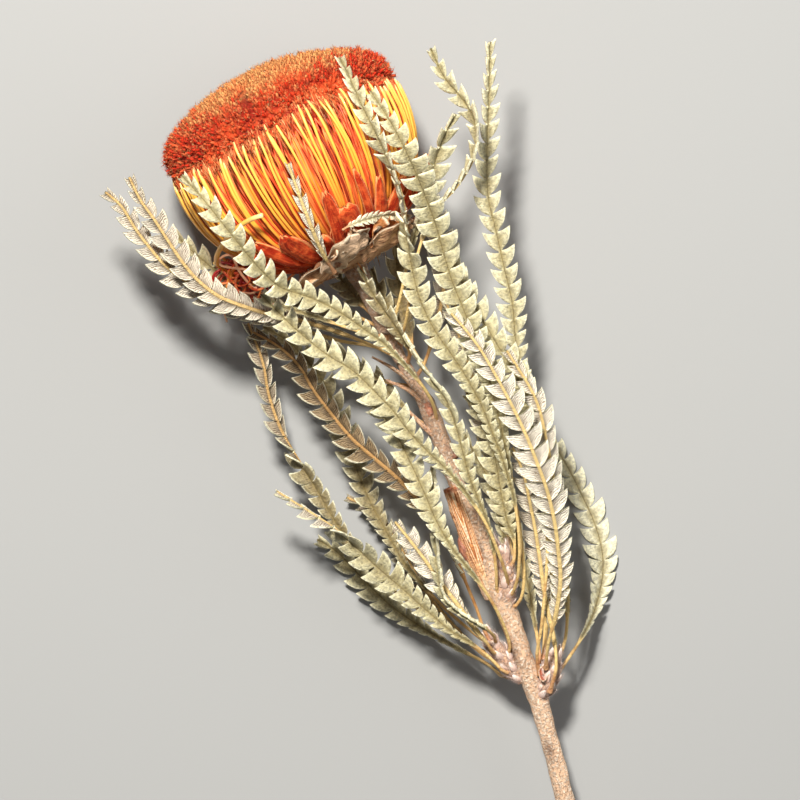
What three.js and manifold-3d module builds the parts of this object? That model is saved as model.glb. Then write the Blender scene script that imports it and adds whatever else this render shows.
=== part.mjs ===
import * as THREE from "three";
import Module from "manifold-3d";

// A dried and dyed banksia flower on its leafy stem, lying down. Millimetres, +Z up, the head towards +Y.

const wasm = await Module();
wasm.setup();

const radians = Math.PI / 180;

// Routes are drawn on a flat sheet: steps across and down from the sheet's corner, then a height in mm.
const sheetStep = 0.26;
const sheetMiddle = 400;
// The sheet is turned so that the stem runs along Y, and shifted so that the whole stands over the origin.
const sheetTurn = 22 * radians;
const shiftX = -2.9;
const shiftY = 54.1;

const materials = {
  bark: { color: 0x9a7760, roughness: 0.9 },
  leafGreen: { color: 0xa8a878, roughness: 0.8 },
  perianthRed: { color: 0xc23a1c, roughness: 0.95 },
  styleYellow: { color: 0xe9b04c, roughness: 0.6 },
  bractRust: { color: 0x8e2a16, roughness: 0.95 },
  dryBrown: { color: 0x8a6c55, roughness: 0.9 },
};

function smooth(value) {
  const t = Math.min(1, Math.max(0, value));
  return t * t * (3 - 2 * t);
}

// The stem climbs from its cut end to the head, and all that is higher than the back leaves climbs with it.
function climb(down, height) {
  return (8.2 * (1123 - down)) / 861 * smooth((height - 3) / 7);
}

function fromSheet([across, down, height]) {
  const x = (across - sheetMiddle) * sheetStep;
  const y = (sheetMiddle - down) * sheetStep;
  return new THREE.Vector3(x, y, height + climb(down, height));
}

function toPart(p) {
  const c = Math.cos(sheetTurn);
  const s = Math.sin(sheetTurn);
  return [p.x * c + p.y * s + shiftX, -p.x * s + p.y * c + shiftY, Math.max(0, p.z)];
}

// A seeded value between 0 and 1 for each whole number.
function chance(seed) {
  const v = Math.sin(seed * 127.1 + 31.7) * 43758.5453;
  return v - Math.floor(v);
}

// Uniform Catmull-Rom spline through rows of numbers, at t from 0 to 1.
function spline(rows, t) {
  const last = rows.length - 1;
  const f = Math.min(Math.max(t, 0), 1) * last;
  const i = Math.min(Math.floor(f), last - 1);
  const u = f - i;
  const p1 = rows[i];
  const p2 = rows[i + 1];
  const p0 = i > 0 ? rows[i - 1] : p1.map((v, k) => 2 * v - p2[k]);
  const p3 = i + 2 <= last ? rows[i + 2] : p2.map((v, k) => 2 * v - p1[k]);
  return p1.map((v, k) => {
    const a = 2 * v;
    const b = p2[k] - p0[k];
    const c = 2 * p0[k] - 5 * v + 4 * p2[k] - p3[k];
    const d = -p0[k] + 3 * v - 3 * p2[k] + p3[k];
    return 0.5 * (a + b * u + c * u * u + d * u * u * u);
  });
}

// Points along a spline at even distances, with the tangent, the way to the right and the way up at each.
function thread(rows, keep) {
  const fine = [];
  const count = (rows.length - 1) * 12;
  for (let i = 0; i <= count; i += 1) {
    const row = spline(rows, i / count);
    fine.push({ p: fromSheet(row), extra: row.slice(3) });
  }
  const run = [0];
  for (let i = 1; i <= count; i += 1) {
    run.push(run[i - 1] + fine[i].p.distanceTo(fine[i - 1].p));
  }
  const total = run[count];
  const at = (s) => {
    const d = Math.min(Math.max(s, 0), total);
    let i = 0;
    while (i < count - 1 && run[i + 1] < d) {
      i += 1;
    }
    const u = (d - run[i]) / (run[i + 1] - run[i]);
    const p = fine[i].p.clone().lerp(fine[i + 1].p, u);
    const extra = fine[i].extra.map((v, k) => v + (fine[i + 1].extra[k] - v) * u);
    return { p, extra };
  };
  const frame = (s) => {
    const { p, extra } = at(s);
    const step = 0.8;
    const tangent = at(s + step).p.clone().sub(at(s - step).p).normalize();
    const up = new THREE.Vector3(0, 0, 1).addScaledVector(tangent, -tangent.z).normalize();
    const right = new THREE.Vector3().crossVectors(tangent, up);
    return { p, extra, tangent, up, right };
  };
  return { total, at, frame };
}

// A closed surface from its points and triangles.
class Shell {
  constructor() {
    this.points = [];
    this.faces = [];
  }
  point(p) {
    this.points.push(toPart(p));
    return this.points.length - 1;
  }
  triangle(a, b, c) {
    this.faces.push([a, b, c]);
  }
  quad(a, b, c, d) {
    this.faces.push([a, b, c], [a, c, d]);
  }
  solid() {
    const made = new wasm.Manifold(
      new wasm.Mesh({
        numProp: 3,
        vertProperties: Float32Array.from(this.points.flat()),
        triVerts: Uint32Array.from(this.faces.flat()),
      }),
    );
    if (made.volume() > 0) {
      return made;
    }
    this.faces = this.faces.map(([a, b, c]) => [a, c, b]);
    return this.solid();
  }
}

// Rings of equal size joined into a tube that is closed by a flat cap at both ends.
function tubeOf(rings) {
  const shell = new Shell();
  const ids = rings.map((ring) => ring.map((p) => shell.point(p)));
  const n = ids[0].length;
  for (let i = 0; i + 1 < ids.length; i += 1) {
    for (let k = 0; k < n; k += 1) {
      const m = (k + 1) % n;
      shell.quad(ids[i][k], ids[i][m], ids[i + 1][m], ids[i + 1][k]);
    }
  }
  const first = ids[0];
  const final = ids[ids.length - 1];
  for (let k = 1; k + 1 < n; k += 1) {
    shell.triangle(first[0], first[k + 1], first[k]);
    shell.triangle(final[0], final[k], final[k + 1]);
  }
  return shell.solid();
}

function ringAround({ p, up, right }, radius, sides, start = 0) {
  const ring = [];
  for (let k = 0; k < sides; k += 1) {
    const angle = start + (2 * Math.PI * k) / sides;
    const r = typeof radius === "function" ? radius(angle) : radius;
    ring.push(p.clone().addScaledVector(right, r * Math.cos(angle)).addScaledVector(up, r * Math.sin(angle)));
  }
  return ring;
}

// A round tube along a route whose rows end with a radius.
function roundTube(rows, sides, spacing, rough = 0, seed = 0) {
  const path = thread(rows);
  const count = Math.max(2, Math.round(path.total / spacing));
  const rings = [];
  for (let i = 0; i <= count; i += 1) {
    const here = path.frame((path.total * i) / count);
    const radius = here.extra[0];
    rings.push(
      ringAround(here, (angle) => {
        const wave = Math.sin(2 * angle + i * 1.3 + seed) + Math.sin(3 * angle - i * 0.9 + seed * 2);
        return radius * (1 + rough * wave);
      }, sides),
    );
  }
  return tubeOf(rings);
}

// Heights on the stem's own axis, which falls evenly to the cut end.
function stemHeight(down) {
  return 2.6 + (18.4 * (1123 - down)) / 861;
}

// Stem: rows of across, down, radius.
const stemLine = [
  [692, 1123, 2.62], [664, 1050, 2.58], [636, 980, 2.5], [612, 915, 2.45], [588, 855, 2.4], [566, 800, 2.35],
  [558, 768, 2.45], [549, 738, 2.3], [539, 703, 2.5], [531, 680, 2.75], [521, 652, 2.6], [511, 622, 2.7],
  [502, 598, 2.8], [489, 560, 2.55], [470, 512, 2.2], [455, 480, 2.1], [446, 454, 2.15], [437, 430, 2.3],
  [430, 413, 2.35], [422, 395, 1.9], [411, 376, 1.8], [400, 358, 1.75], [390, 340, 1.8], [380, 320, 1.9],
  [371, 300, 2.1], [362, 282, 2.5], [354, 267, 3.4],
].map(([across, down, radius]) => [across, down, stemHeight(down), radius]);

// Side shoots, the broken stub and three stalk stubs, all grown together with the stem.
const shoots = {
  left: [[523, 682, 12, 1.4], [514, 671, 12.4, 2.1], [505, 660, 12.8, 2.3], [497, 650, 13.1, 2.1], [490, 641, 13.3, 1]],
  right: [[538, 701, 11.6, 1.4], [545, 690, 13, 2], [550, 678, 13.8, 2.3], [552, 666, 14.2, 2], [553, 656, 14.5, 1]],
  middle: [[501, 606, 13.8, 1.5], [507, 594, 15.3, 2.1], [507, 576, 16.2, 1.9], [504, 560, 16.6, 1.5], [501, 545, 17, 0.9]],
};
const stubs = [
  [[485, 586, 14.2, 1.2], [476, 558, 15.6, 2.3], [466, 532, 16.4, 2.4], [457, 509, 17.2, 2.1], [449, 488, 18, 1.5]],
  [[417, 390, 18.5, 0.9], [402, 375, 19.6, 0.75], [387, 365, 19.8, 0.7], [372, 357, 19.6, 0.6]],
  [[425, 404, 18.5, 0.9], [408, 390, 20.2, 0.75], [386, 380, 20.6, 0.6]],
  [[434, 436, 17.6, 0.9], [421, 424, 19.4, 0.8], [404, 406, 20, 0.6]],
];

// The carriers' axes as points with a radius, for keeping the stalks clear of them.
const carriers = [stemLine, ...Object.values(shoots)].flatMap((rows) => {
  const path = thread(rows);
  const list = [];
  for (let s = 0; s <= path.total; s += 0.7) {
    const { p, extra } = path.at(s);
    list.push({ p, radius: extra[0] * 0.98 });
  }
  return list;
});

// Leaves: each route runs from the stalk's foot to the tip as across, down, height, roll in degrees,
// where roll 0 shows the green upper side from above, 180 the white underside and 90 the edge.
const leaves = [
  {
    name: "left_shoot_1", halfWidth: 3.6, bladeFrom: 0.42,
    route: [
      [515, 673, 12.4, 0], [505, 679, 11.2, 0], [488, 665, 9.3, 0], [448, 644, 6, 0], [412, 622, 4, 0],
      [385, 602, 2.6, 5], [355, 572, 2, 10], [335, 552, 2, 10], [316, 540, 3, 10],
    ],
  },
  {
    name: "left_shoot_2", halfWidth: 4.6, bladeFrom: 0.3,
    route: [
      [512, 669, 12.5, 0], [505, 673, 15.2, 0], [490, 658, 16.8, 0], [472, 644, 17.6, 0], [452, 632, 18, 0],
      [428, 612, 17.5, 0], [400, 587, 17, 0], [372, 563, 17, 10], [342, 536, 17, 55], [310, 514, 18, 105],
      [275, 492, 20, 120],
    ],
  },
  {
    name: "left_shoot_3", halfWidth: 4, bladeFrom: 0.36,
    route: [
      [498, 651, 13.1, 0], [496, 650, 9.6, 0], [478, 637, 9, 0], [448, 612, 6.5, 0], [425, 588, 6.3, 0],
      [405, 565, 6.3, 0], [388, 535, 6.3, 0], [370, 502, 6.3, 0], [355, 465, 6.3, 0], [343, 432, 6.5, 0],
      [331, 398, 7, 0], [312, 366, 8, 0], [288, 342, 9, 0], [262, 326, 10, 0],
    ],
  },
  {
    name: "left_shoot_4", halfWidth: 3.8, bladeFrom: 0.4,
    route: [
      [498, 651, 13.1, 180], [494, 653, 16.6, 180], [486, 642, 19.3, 180], [475, 629, 21.3, 180], [461, 609, 22, 180],
      [445, 588, 21.5, 180], [425, 560, 20, 180], [408, 538, 17, 180], [395, 522, 14, 180],
    ],
  },
  {
    name: "left_shoot_5", halfWidth: 3.2, bladeFrom: 0.35,
    route: [
      [494, 645, 13.2, 60], [494, 638, 18, 60], [485, 629, 24, 60], [469, 619, 27, 60], [453, 608, 27.5, 60],
      [443, 596, 27.3, 60], [438, 576, 26.8, 60], [435.5, 545, 26, 60], [434, 505, 26.5, 60], [433, 466, 27.5, 60],
    ],
  },
  {
    name: "left_shoot_6", halfWidth: 3.9, bladeFrom: 0.46,
    route: [
      [503, 657, 13, 0], [510, 651, 15.4, 0], [507, 634, 18.5, 0], [496, 609, 23.5, 0], [481, 585, 27.5, 0],
      [466, 566, 30, 0], [451, 546, 31.3, 0], [436, 520, 31.5, 0], [424, 492, 31.5, 0], [411, 464, 31, 0],
      [397, 436, 30, 0], [380, 412, 29, 0], [360, 396, 28, 0],
    ],
  },
  {
    name: "left_shoot_7", halfWidth: 4.4, bladeFrom: 0.3,
    route: [
      [491, 643, 13.3, 110], [483, 630, 13.5, 110], [477, 612, 13.8, 110], [468, 590, 15, 110], [455, 560, 15.5, 110],
      [438, 528, 16, 120], [420, 505, 16, 132], [398, 480, 16, 145], [372, 457, 16, 155], [348, 435, 16, 160],
      [315, 393, 15.5, 165], [300, 368, 16, 165], [280, 348, 17, 165], [252, 332, 18, 165],
    ],
  },
  {
    name: "left_shoot_8", halfWidth: 3.2, bladeFrom: 0.45,
    route: [
      [510, 666, 12.6, 150], [507, 668, 9.2, 150], [487, 654, 6, 150], [470, 645, 4, 150], [430, 600, 2.1, 150],
      [400, 550, 2.1, 150], [375, 514, 2.5, 150], [345, 498, 3.6, 150],
    ],
  },
  {
    name: "left_shoot_9", halfWidth: 3.6, bladeFrom: 0.42,
    route: [
      [505, 660, 12.8, 0], [491, 660, 12.2, 0], [465, 641, 10, 0], [430, 618, 10.3, 0], [395, 592, 10.5, 0],
      [362, 560, 10.5, 0], [335, 522, 10.5, 0], [315, 488, 10.5, 15], [293, 455, 11, 80], [279, 428, 12, 140],
      [268, 395, 13, 155], [262, 362, 14, 160], [247, 322, 15, 160],
    ],
  },
  {
    name: "right_shoot_1", halfWidth: 4.9, bladeFrom: 0.16,
    route: [
      [546, 668, 17, 180], [548, 645, 22, 180], [556, 612, 26.5, 180], [560, 580, 29.5, 180], [558, 552, 31.5, 180],
      [554, 522, 34, 180], [547, 492, 36.5, 180], [537, 464, 38.5, 180], [525, 434, 40, 180], [511, 405, 41, 180],
      [496, 377, 41.5, 180], [480, 350, 41.5, 180], [465, 330, 41.5, 180], [450, 313, 41.5, 180],
    ],
  },
  {
    name: "right_shoot_2", halfWidth: 3.8, bladeFrom: 0.3,
    route: [
      [556, 664, 14.5, 150], [565, 640, 15.5, 150], [567, 610, 18, 150], [566, 580, 21, 150], [562, 545, 24.5, 150],
      [556, 500, 28, 150], [550, 465, 30.5, 150], [545, 440, 32, 150], [539, 412, 33, 155], [530, 390, 34, 155],
      [518, 370, 34.5, 160], [505, 350, 35, 160],
    ],
  },
  {
    name: "right_shoot_3", halfWidth: 4, bladeFrom: 0.36,
    route: [
      [544, 660, 13.5, 0], [548, 620, 13, 0], [551, 580, 13, 0], [551, 540, 13.2, 0], [547, 495, 14, 0],
      [540, 450, 15.5, 0], [530, 410, 17.5, 0], [520, 372, 19.5, 0], [515, 335, 21, 0], [512, 302, 21.5, 0],
      [504, 268, 22, 0], [496, 232, 22.5, 0], [488, 196, 23.5, -10], [487, 150, 25, -25], [489, 100, 27, -30],
      [490, 42, 29, -30],
    ],
  },
  {
    name: "right_shoot_4", halfWidth: 4.2, bladeFrom: 0.3,
    route: [
      [556, 677, 12.5, 0], [568, 660, 11.5, 0], [580, 642, 9.5, 0], [592, 620, 6, 0], [599, 600, 3.6, 0],
      [604, 575, 1.6, 0], [603, 550, 0.7, 0], [595, 522, 0.3, 0], [583, 496, 0.3, 0], [571, 472, 0.8, 0],
      [558, 450, 2.2, 0], [547, 432, 3.6, 0],
    ],
  },
  {
    name: "right_shoot_5", halfWidth: 3.9, bladeFrom: 0.34,
    route: [
      [550, 692, 15.5, 180], [556, 670, 18.5, 180], [555, 645, 18.5, 180], [549, 615, 17.5, 180], [544, 590, 17, 180],
      [540, 560, 17, 180], [535, 528, 17.2, 180], [529, 498, 17.8, 180], [523, 472, 18.3, 180], [512, 446, 19, 180],
    ],
  },
  {
    name: "right_shoot_6", halfWidth: 2.8, bladeFrom: 0.3,
    route: [
      [541, 664, 12, 20], [536, 630, 10, 20], [530, 595, 8.5, 20], [522, 562, 7.5, 20], [514, 530, 6.8, 20],
      [505, 495, 6.5, 20],
    ],
  },
  {
    name: "right_shoot_7", halfWidth: 4.2, bladeFrom: 0.42,
    route: [
      [540, 676, 14.5, 0], [537, 655, 17.5, 0], [541, 630, 20, 0], [544, 600, 21.8, 0], [547, 560, 23.2, 0],
      [547, 520, 24.3, 0], [543, 480, 25.5, 0], [537, 440, 27, 0], [528, 405, 28, 0], [515, 375, 29, 0],
      [500, 350, 30, 0], [488, 330, 30.5, 0], [477, 312, 31, 0], [465, 290, 31.5, 0], [455, 268, 32, 0],
      [443, 243, 32.5, 0],
    ],
  },
  {
    name: "middle_shoot_1", halfWidth: 4.7, bladeFrom: 0.4,
    route: [
      [508, 590, 15.5, 0], [507, 578, 20.8, 0], [501, 560, 26, 0], [487, 526, 31, 0], [468, 496, 33.5, 0],
      [447, 470, 35.5, 0], [428, 452, 36.5, 5], [410, 433, 37, 12], [393, 411, 37.5, 15], [375, 392, 38, 12],
      [353, 371, 38, 5], [326, 354, 38, 0], [300, 333, 38, 0], [280, 314, 38.5, 0], [261, 294, 39, 0],
    ],
  },
  {
    name: "middle_shoot_2", halfWidth: 2.9, bladeFrom: 0.36,
    route: [
      [503, 602, 14.3, 0], [497, 590, 17, 0], [496, 570, 21, 0], [491, 535, 25.5, 0], [478, 499, 28, 0],
      [469, 476, 29.5, 0], [462, 450, 30.5, 10], [455, 425, 31, 25], [445, 400, 31.5, 50], [430, 378, 32, 65],
      [415, 355, 32.5, 65], [404, 334, 32.5, 65],
    ],
  },
  {
    name: "middle_shoot_3", halfWidth: 3.8, bladeFrom: 0.26,
    route: [
      [505, 600, 14.4, 0], [512, 594, 18, 0], [518, 575, 23, 0], [519, 540, 27, 0], [514, 500, 30, 0],
      [503, 462, 32, 0], [491, 430, 33.5, 0], [480, 403, 34.5, 0], [464, 374, 35.5, 0], [448, 350, 36.5, 0],
      [433, 328, 37, 0], [420, 300, 38, 0], [412, 270, 39, 10], [406, 235, 42.5, 60], [402, 205, 51, 80],
      [393, 175, 57.5, 75], [378, 142, 61, 30], [362, 108, 60.5, 0], [350, 80, 57, -15], [340, 60, 52, -20],
    ],
  },
  {
    name: "middle_shoot_4", halfWidth: 4.2, bladeFrom: 0.22,
    route: [
      [507, 572, 16.3, 0], [514, 560, 18, 0], [514, 540, 19, 0], [508, 524, 19.5, 0], [502, 498, 20, 0],
      [497, 468, 20.5, 0], [491, 440, 21, 0], [480, 415, 21.5, 0], [466, 392, 22, 0],
    ],
  },
  {
    name: "middle_shoot_5", halfWidth: 4.8, bladeFrom: 0.34,
    route: [
      [503, 606, 14, 0], [513, 608, 15.5, 0], [522, 596, 18, 0], [524, 570, 20.5, 0], [520, 530, 22.5, 0],
      [514, 495, 23.5, 0], [507, 458, 25.5, 0], [499, 420, 28, 0], [489, 382, 31, 0], [476, 345, 33.5, 0],
      [464, 312, 36, 0], [452, 282, 38, 0], [444, 256, 40, 0], [436, 228, 43, 0], [427, 203, 47, 0],
      [416, 176, 52, 0], [404, 150, 56, 0], [390, 124, 57.5, 0], [370, 93, 56.5, 0],
    ],
  },
  {
    name: "middle_shoot_6", halfWidth: 3.4, bladeFrom: 0.3,
    route: [
      [508, 580, 16, 140], [513, 566, 13.5, 140], [509, 540, 13.5, 140], [500, 490, 14.8, 140], [488, 440, 16.5, 140],
      [475, 390, 17, 140], [461, 345, 18, 140], [443, 297, 19, 140],
    ],
  },
  {
    name: "middle_shoot_7", halfWidth: 3, bladeFrom: 0.3,
    route: [
      [507, 590, 15.5, 0], [508, 578, 11.5, 0], [505, 545, 10, 0], [499, 508, 10, 0], [489, 480, 10, 0],
      [477, 458, 10.5, 0], [463, 432, 11, 0],
    ],
  },
  {
    name: "upper_stem_1", halfWidth: 3.9, bladeFrom: 0.3,
    route: [
      [437, 424, 18, 0], [435, 411, 23, 0], [429, 396, 28.5, 0], [416, 378, 33, 0], [400, 360, 35.5, 0],
      [384, 344, 37, 0], [366, 331, 38.5, 0], [348, 318, 39.5, 0], [328, 306, 41, 0], [304, 296, 43, 0],
      [281, 288, 46.5, 0], [262, 271, 51.5, 0], [244, 250, 56, 0], [224, 225, 58.5, 0], [204, 200, 57.5, 0],
      [183, 177, 51.5, 0],
    ],
  },
  {
    name: "upper_stem_2", halfWidth: 4, bladeFrom: 0.34,
    route: [
      [402, 362, 19, 180], [393, 356, 24.5, 180], [373, 346, 28, 180], [340, 333, 30, 180], [305, 322, 31, 180],
      [272, 315, 32, 180], [245, 307, 33, 180], [220, 297, 34, 180], [200, 282, 34, 180], [185, 265, 34, 180],
      [170, 243, 34, 180], [155, 220, 34, 180], [141, 200, 34, 180], [130, 177, 35, 180],
    ],
  },
  {
    name: "upper_stem_3", halfWidth: 4, bladeFrom: 0.34,
    route: [
      [397, 352, 19, 170], [387, 350, 21.8, 170], [370, 346, 23.3, 170], [340, 341, 23.2, 170], [300, 330, 24.5, 170],
      [260, 316, 26.5, 170], [225, 303, 27.5, 170], [195, 287, 28, 170], [168, 268, 28, 170], [150, 248, 28, 170],
      [135, 228, 28, 170], [122, 207, 28.5, 170], [105, 192, 30, 170],
    ],
  },
  {
    name: "upper_stem_4", halfWidth: 3.6, bladeFrom: 0.45,
    route: [
      [388, 338, 22, 0], [355, 330, 18, 0], [310, 315, 17, 0], [265, 301, 17, 0], [238, 288, 17, 0],
      [222, 276, 17, 0], [205, 262, 17, 0], [190, 249, 17, 0], [173, 232, 18, 0],
    ],
  },
  {
    name: "upper_stem_5", halfWidth: 3.3, bladeFrom: 0.52,
    route: [
      [398, 345, 19, 80], [404, 325, 27, 80], [409, 298, 33, 80], [415, 262, 37, 80], [425, 228, 38, 80],
      [437, 206, 38.5, 80], [452, 190, 39.5, 80], [463, 175, 40, 80], [471, 160, 40.5, 75], [475, 143, 41, 65],
      [474, 126, 41.5, 50], [468, 111, 42, 38], [458, 97, 42, 25], [447, 84, 42, 12], [438, 68, 42, 0],
      [430, 50, 43, 0],
    ],
  },
  {
    name: "upper_stem_6", halfWidth: 4.5, bladeFrom: 0.55,
    route: [
      [386, 330, 19.5, -20], [395, 318, 25, -30], [403, 288, 29, -40], [411, 250, 30.5, -40], [421, 215, 31.5, -40],
      [430, 185, 32, -40], [437, 158, 33, -40], [445, 136, 34.5, -40], [456, 115, 36, -35],
    ],
  },
  {
    name: "upper_stem_7", halfWidth: 3.4, bladeFrom: 0.4,
    route: [
      [417, 388, 17.5, 0], [404, 385, 15, 0], [384, 381, 14, 0], [355, 367, 14, 0], [325, 350, 14, 0],
      [298, 333, 15, 0],
    ],
  },
  {
    name: "upper_stem_8", halfWidth: 3.2, bladeFrom: 0.4,
    route: [
      [432, 428, 17, 0], [418, 420, 14.5, 0], [402, 405, 13.5, 0], [380, 385, 12, 0], [345, 358, 11, 0],
    ],
  },
  {
    name: "upper_stem_9", halfWidth: 2.6, bladeFrom: 0.3,
    route: [
      [407, 366, 19, 0], [409, 352, 25, 25], [401, 337, 29, 25], [390, 320, 30.5, 20], [378, 303, 31, 20],
      [368, 286, 32.5, 25], [361, 268, 36, 35],
    ],
  },
  {
    name: "upper_stem_10", halfWidth: 3.6, bladeFrom: 0.3,
    route: [
      [404, 364, 17, 0], [412, 350, 13.6, 0], [409, 328, 12, 0], [402, 306, 11.4, 0], [398, 282, 11.4, 0],
      [396, 258, 12, 0], [397, 240, 12.5, 0],
    ],
  },
  {
    name: "upper_stem_11", halfWidth: 3.4, bladeFrom: 0.35,
    route: [
      [384, 332, 19, 0], [373, 324, 15, 0], [352, 315, 10, 0], [320, 308, 6, 0], [285, 305, 4, 0],
      [250, 300, 3, 0],
    ],
  },
  {
    name: "under_stem_1", halfWidth: 4.2, bladeFrom: 0.25,
    route: [
      [508, 612, 13, 180], [506, 575, 7, 180], [505, 520, 4, 180], [500, 470, 2.6, 180], [490, 420, 2.2, 180],
      [478, 370, 2.2, 180], [463, 325, 2.4, 180], [450, 290, 3, 180],
    ],
  },
  {
    name: "under_stem_2", halfWidth: 4.2, bladeFrom: 0.25,
    route: [
      [543, 676, 9.8, 180], [546, 625, 6, 180], [552, 580, 3.8, 180], [549.5, 530, 2.6, 180], [543.5, 485, 2.2, 180],
      [534.5, 440, 2.2, 180], [522, 395, 2.4, 180], [508, 355, 3, 180],
    ],
  },
  {
    name: "under_stem_3", halfWidth: 3.8, bladeFrom: 0.3,
    route: [
      [414, 380, 17, 180], [425, 362, 13, 180], [435, 330, 9, 180], [442, 300, 6.5, 180], [445, 270, 5, 180],
      [440, 235, 4, 180], [432, 205, 3.5, 180], [424, 180, 3.5, 180],
    ],
  },
  {
    name: "under_stem_4", halfWidth: 3.6, bladeFrom: 0.3,
    route: [
      [381, 323, 18.6, 0], [371, 314, 17.2, 0], [362, 304, 16, 0], [353, 294, 14, 0], [345, 284, 12, 0],
      [338, 274, 10.6, 0], [334, 268, 10, 0],
    ],
  },
  {
    name: "under_stem_5", halfWidth: 2.3, bladeFrom: 0.3,
    route: [
      [399, 355, 17.6, 0], [401, 344, 15.4, 0], [398, 330, 15.4, 0], [391, 313, 15.6, 0], [384, 298, 15.8, 0],
      [377, 283, 16.2, 0], [371, 268, 17, 0],
    ],
  },
  {
    name: "head_leaf", halfWidth: 1.9, bladeFrom: 0.16,
    route: [
      [334, 272, 40.35, 180], [327, 261, 45.8, 180], [319, 245, 51.6, 180], [312, 228, 55.4, 180], [302, 202, 58, 180],
      [289, 165, 59.7, 180],
    ],
  },
];

const stalk = { halfWidth: 0.75, halfDepth: 0.62 };
const blade = { rib: 1, halfDepth: 0.36, toothPitch: 5.3, fold: 12 * radians };

// How wide the blade is, as a share of its greatest width, from its foot at 0 to its tip at 1.
function bladeShare(u) {
  return Math.min(1, 0.42 + 2.2 * u) * Math.pow(Math.max(0, 1 - Math.pow(u, 4.5)), 0.55);
}

// The stalk starts where its corners have come a small gap clear of the stem and the shoots.
function stalkStart(path, corners) {
  const gap = 0.3;
  const step = 0.2;
  let start = -step;
  for (let s = 0; s < path.total * 0.3; s += step) {
    if (corners(s).some((q) => carriers.some((c) => c.p.distanceTo(q) < c.radius + gap))) {
      start = s;
    }
  }
  return start + step;
}

// A leaf: a square stalk that widens into a flat rib, with pairs of pointed teeth, each a triangle on the rib's side.
function leafSolid(leaf) {
  const path = thread(leaf.route);
  const lean = (s) => {
    const here = path.frame(s);
    const roll = here.extra[0] * radians;
    const side = here.right.clone().multiplyScalar(Math.cos(roll)).addScaledVector(here.up, Math.sin(roll));
    const face = here.up.clone().multiplyScalar(Math.cos(roll)).addScaledVector(here.right, -Math.sin(roll));
    return { p: here.p, side, face };
  };
  const place = ({ p, side, face }, out, rise) => p.clone().addScaledVector(side, out).addScaledVector(face, rise);
  const start = stalkStart(path, (s) => {
    const here = lean(s);
    const ways = [[-1, -1], [1, -1], [1, 1], [-1, 1], [0, 0]];
    return ways.map(([a, b]) => place(here, a * stalk.halfWidth, b * stalk.halfDepth));
  });
  const bladeStart = Math.max(path.total * leaf.bladeFrom, start + 2);
  const stalkSteps = Math.max(1, Math.round((bladeStart - start) / 8));
  const teeth = Math.max(5, Math.round((path.total - bladeStart) / blade.toothPitch));
  const shell = new Shell();
  const stations = [];
  const corner = (here, out, rise) => shell.point(place(here, out, rise));
  const addStation = (s, halfWidth, halfDepth) => {
    const here = lean(s);
    stations.push({
      s,
      leftTop: corner(here, -halfWidth, halfDepth),
      rightTop: corner(here, halfWidth, halfDepth),
      rightBottom: corner(here, halfWidth, -halfDepth),
      leftBottom: corner(here, -halfWidth, -halfDepth),
    });
  };
  for (let i = 0; i < stalkSteps; i += 1) {
    addStation(start + ((bladeStart - start) * i) / stalkSteps, stalk.halfWidth, stalk.halfDepth);
  }
  const pitch = (path.total - bladeStart) / teeth;
  for (let i = 0; i <= teeth; i += 1) {
    const u = i / teeth;
    addStation(bladeStart + pitch * i, blade.rib * (1 - 0.45 * u), blade.halfDepth);
  }
  for (let i = 0; i + 1 < stations.length; i += 1) {
    const a = stations[i];
    const b = stations[i + 1];
    shell.quad(a.leftTop, a.rightTop, b.rightTop, b.leftTop);
    shell.quad(a.leftBottom, b.leftBottom, b.rightBottom, a.rightBottom);
    const tooth = i - stalkSteps;
    if (tooth < 0) {
      shell.quad(a.rightTop, a.rightBottom, b.rightBottom, b.rightTop);
      shell.quad(a.leftTop, b.leftTop, b.leftBottom, a.leftBottom);
      continue;
    }
    const width = leaf.halfWidth * bladeShare((tooth + 0.8) / teeth);
    const here = lean(a.s + pitch * 0.86);
    const out = Math.max(width, blade.rib + 0.5) * Math.cos(blade.fold);
    const rise = width * Math.sin(blade.fold);
    for (const way of [1, -1]) {
      const top = corner(here, way * out, rise + blade.halfDepth);
      const bottom = corner(here, way * out, rise - blade.halfDepth);
      const [footTop, footBottom, nextTop, nextBottom] =
        way > 0
          ? [a.rightTop, a.rightBottom, b.rightTop, b.rightBottom]
          : [a.leftTop, a.leftBottom, b.leftTop, b.leftBottom];
      if (way > 0) {
        shell.triangle(footTop, top, nextTop);
        shell.triangle(footBottom, nextBottom, bottom);
        shell.quad(footTop, footBottom, bottom, top);
        shell.quad(top, bottom, nextBottom, nextTop);
      } else {
        shell.triangle(footTop, nextTop, top);
        shell.triangle(footBottom, bottom, nextBottom);
        shell.quad(footTop, top, bottom, footBottom);
        shell.quad(top, nextTop, nextBottom, bottom);
      }
    }
  }
  const first = stations[0];
  const final = stations[stations.length - 1];
  shell.quad(first.leftTop, first.leftBottom, first.rightBottom, first.rightTop);
  shell.quad(final.leftTop, final.rightTop, final.rightBottom, final.leftBottom);
  return shell.solid();
}

// Head: its base, its axis and the ways to its right and up, on the sheet.
const head = {
  base: new THREE.Vector3((345 - sheetMiddle) * sheetStep, (sheetMiddle - 250) * sheetStep, 28.8),
  turn: 26 * radians,
  rise: 6 * radians,
};
head.axis = new THREE.Vector3(
  -Math.sin(head.turn) * Math.cos(head.rise),
  Math.cos(head.turn) * Math.cos(head.rise),
  Math.sin(head.rise),
);
head.right = new THREE.Vector3(Math.cos(head.turn), Math.sin(head.turn), 0);
head.up = new THREE.Vector3().crossVectors(head.right, head.axis);

// A place on the head: distance out from the axis, distance along it, angle round it from the top to the right.
function onHead(out, along, angle) {
  return head.base
    .clone()
    .addScaledVector(head.axis, along)
    .addScaledVector(head.up, out * Math.cos(angle))
    .addScaledVector(head.right, out * Math.sin(angle));
}

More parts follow.
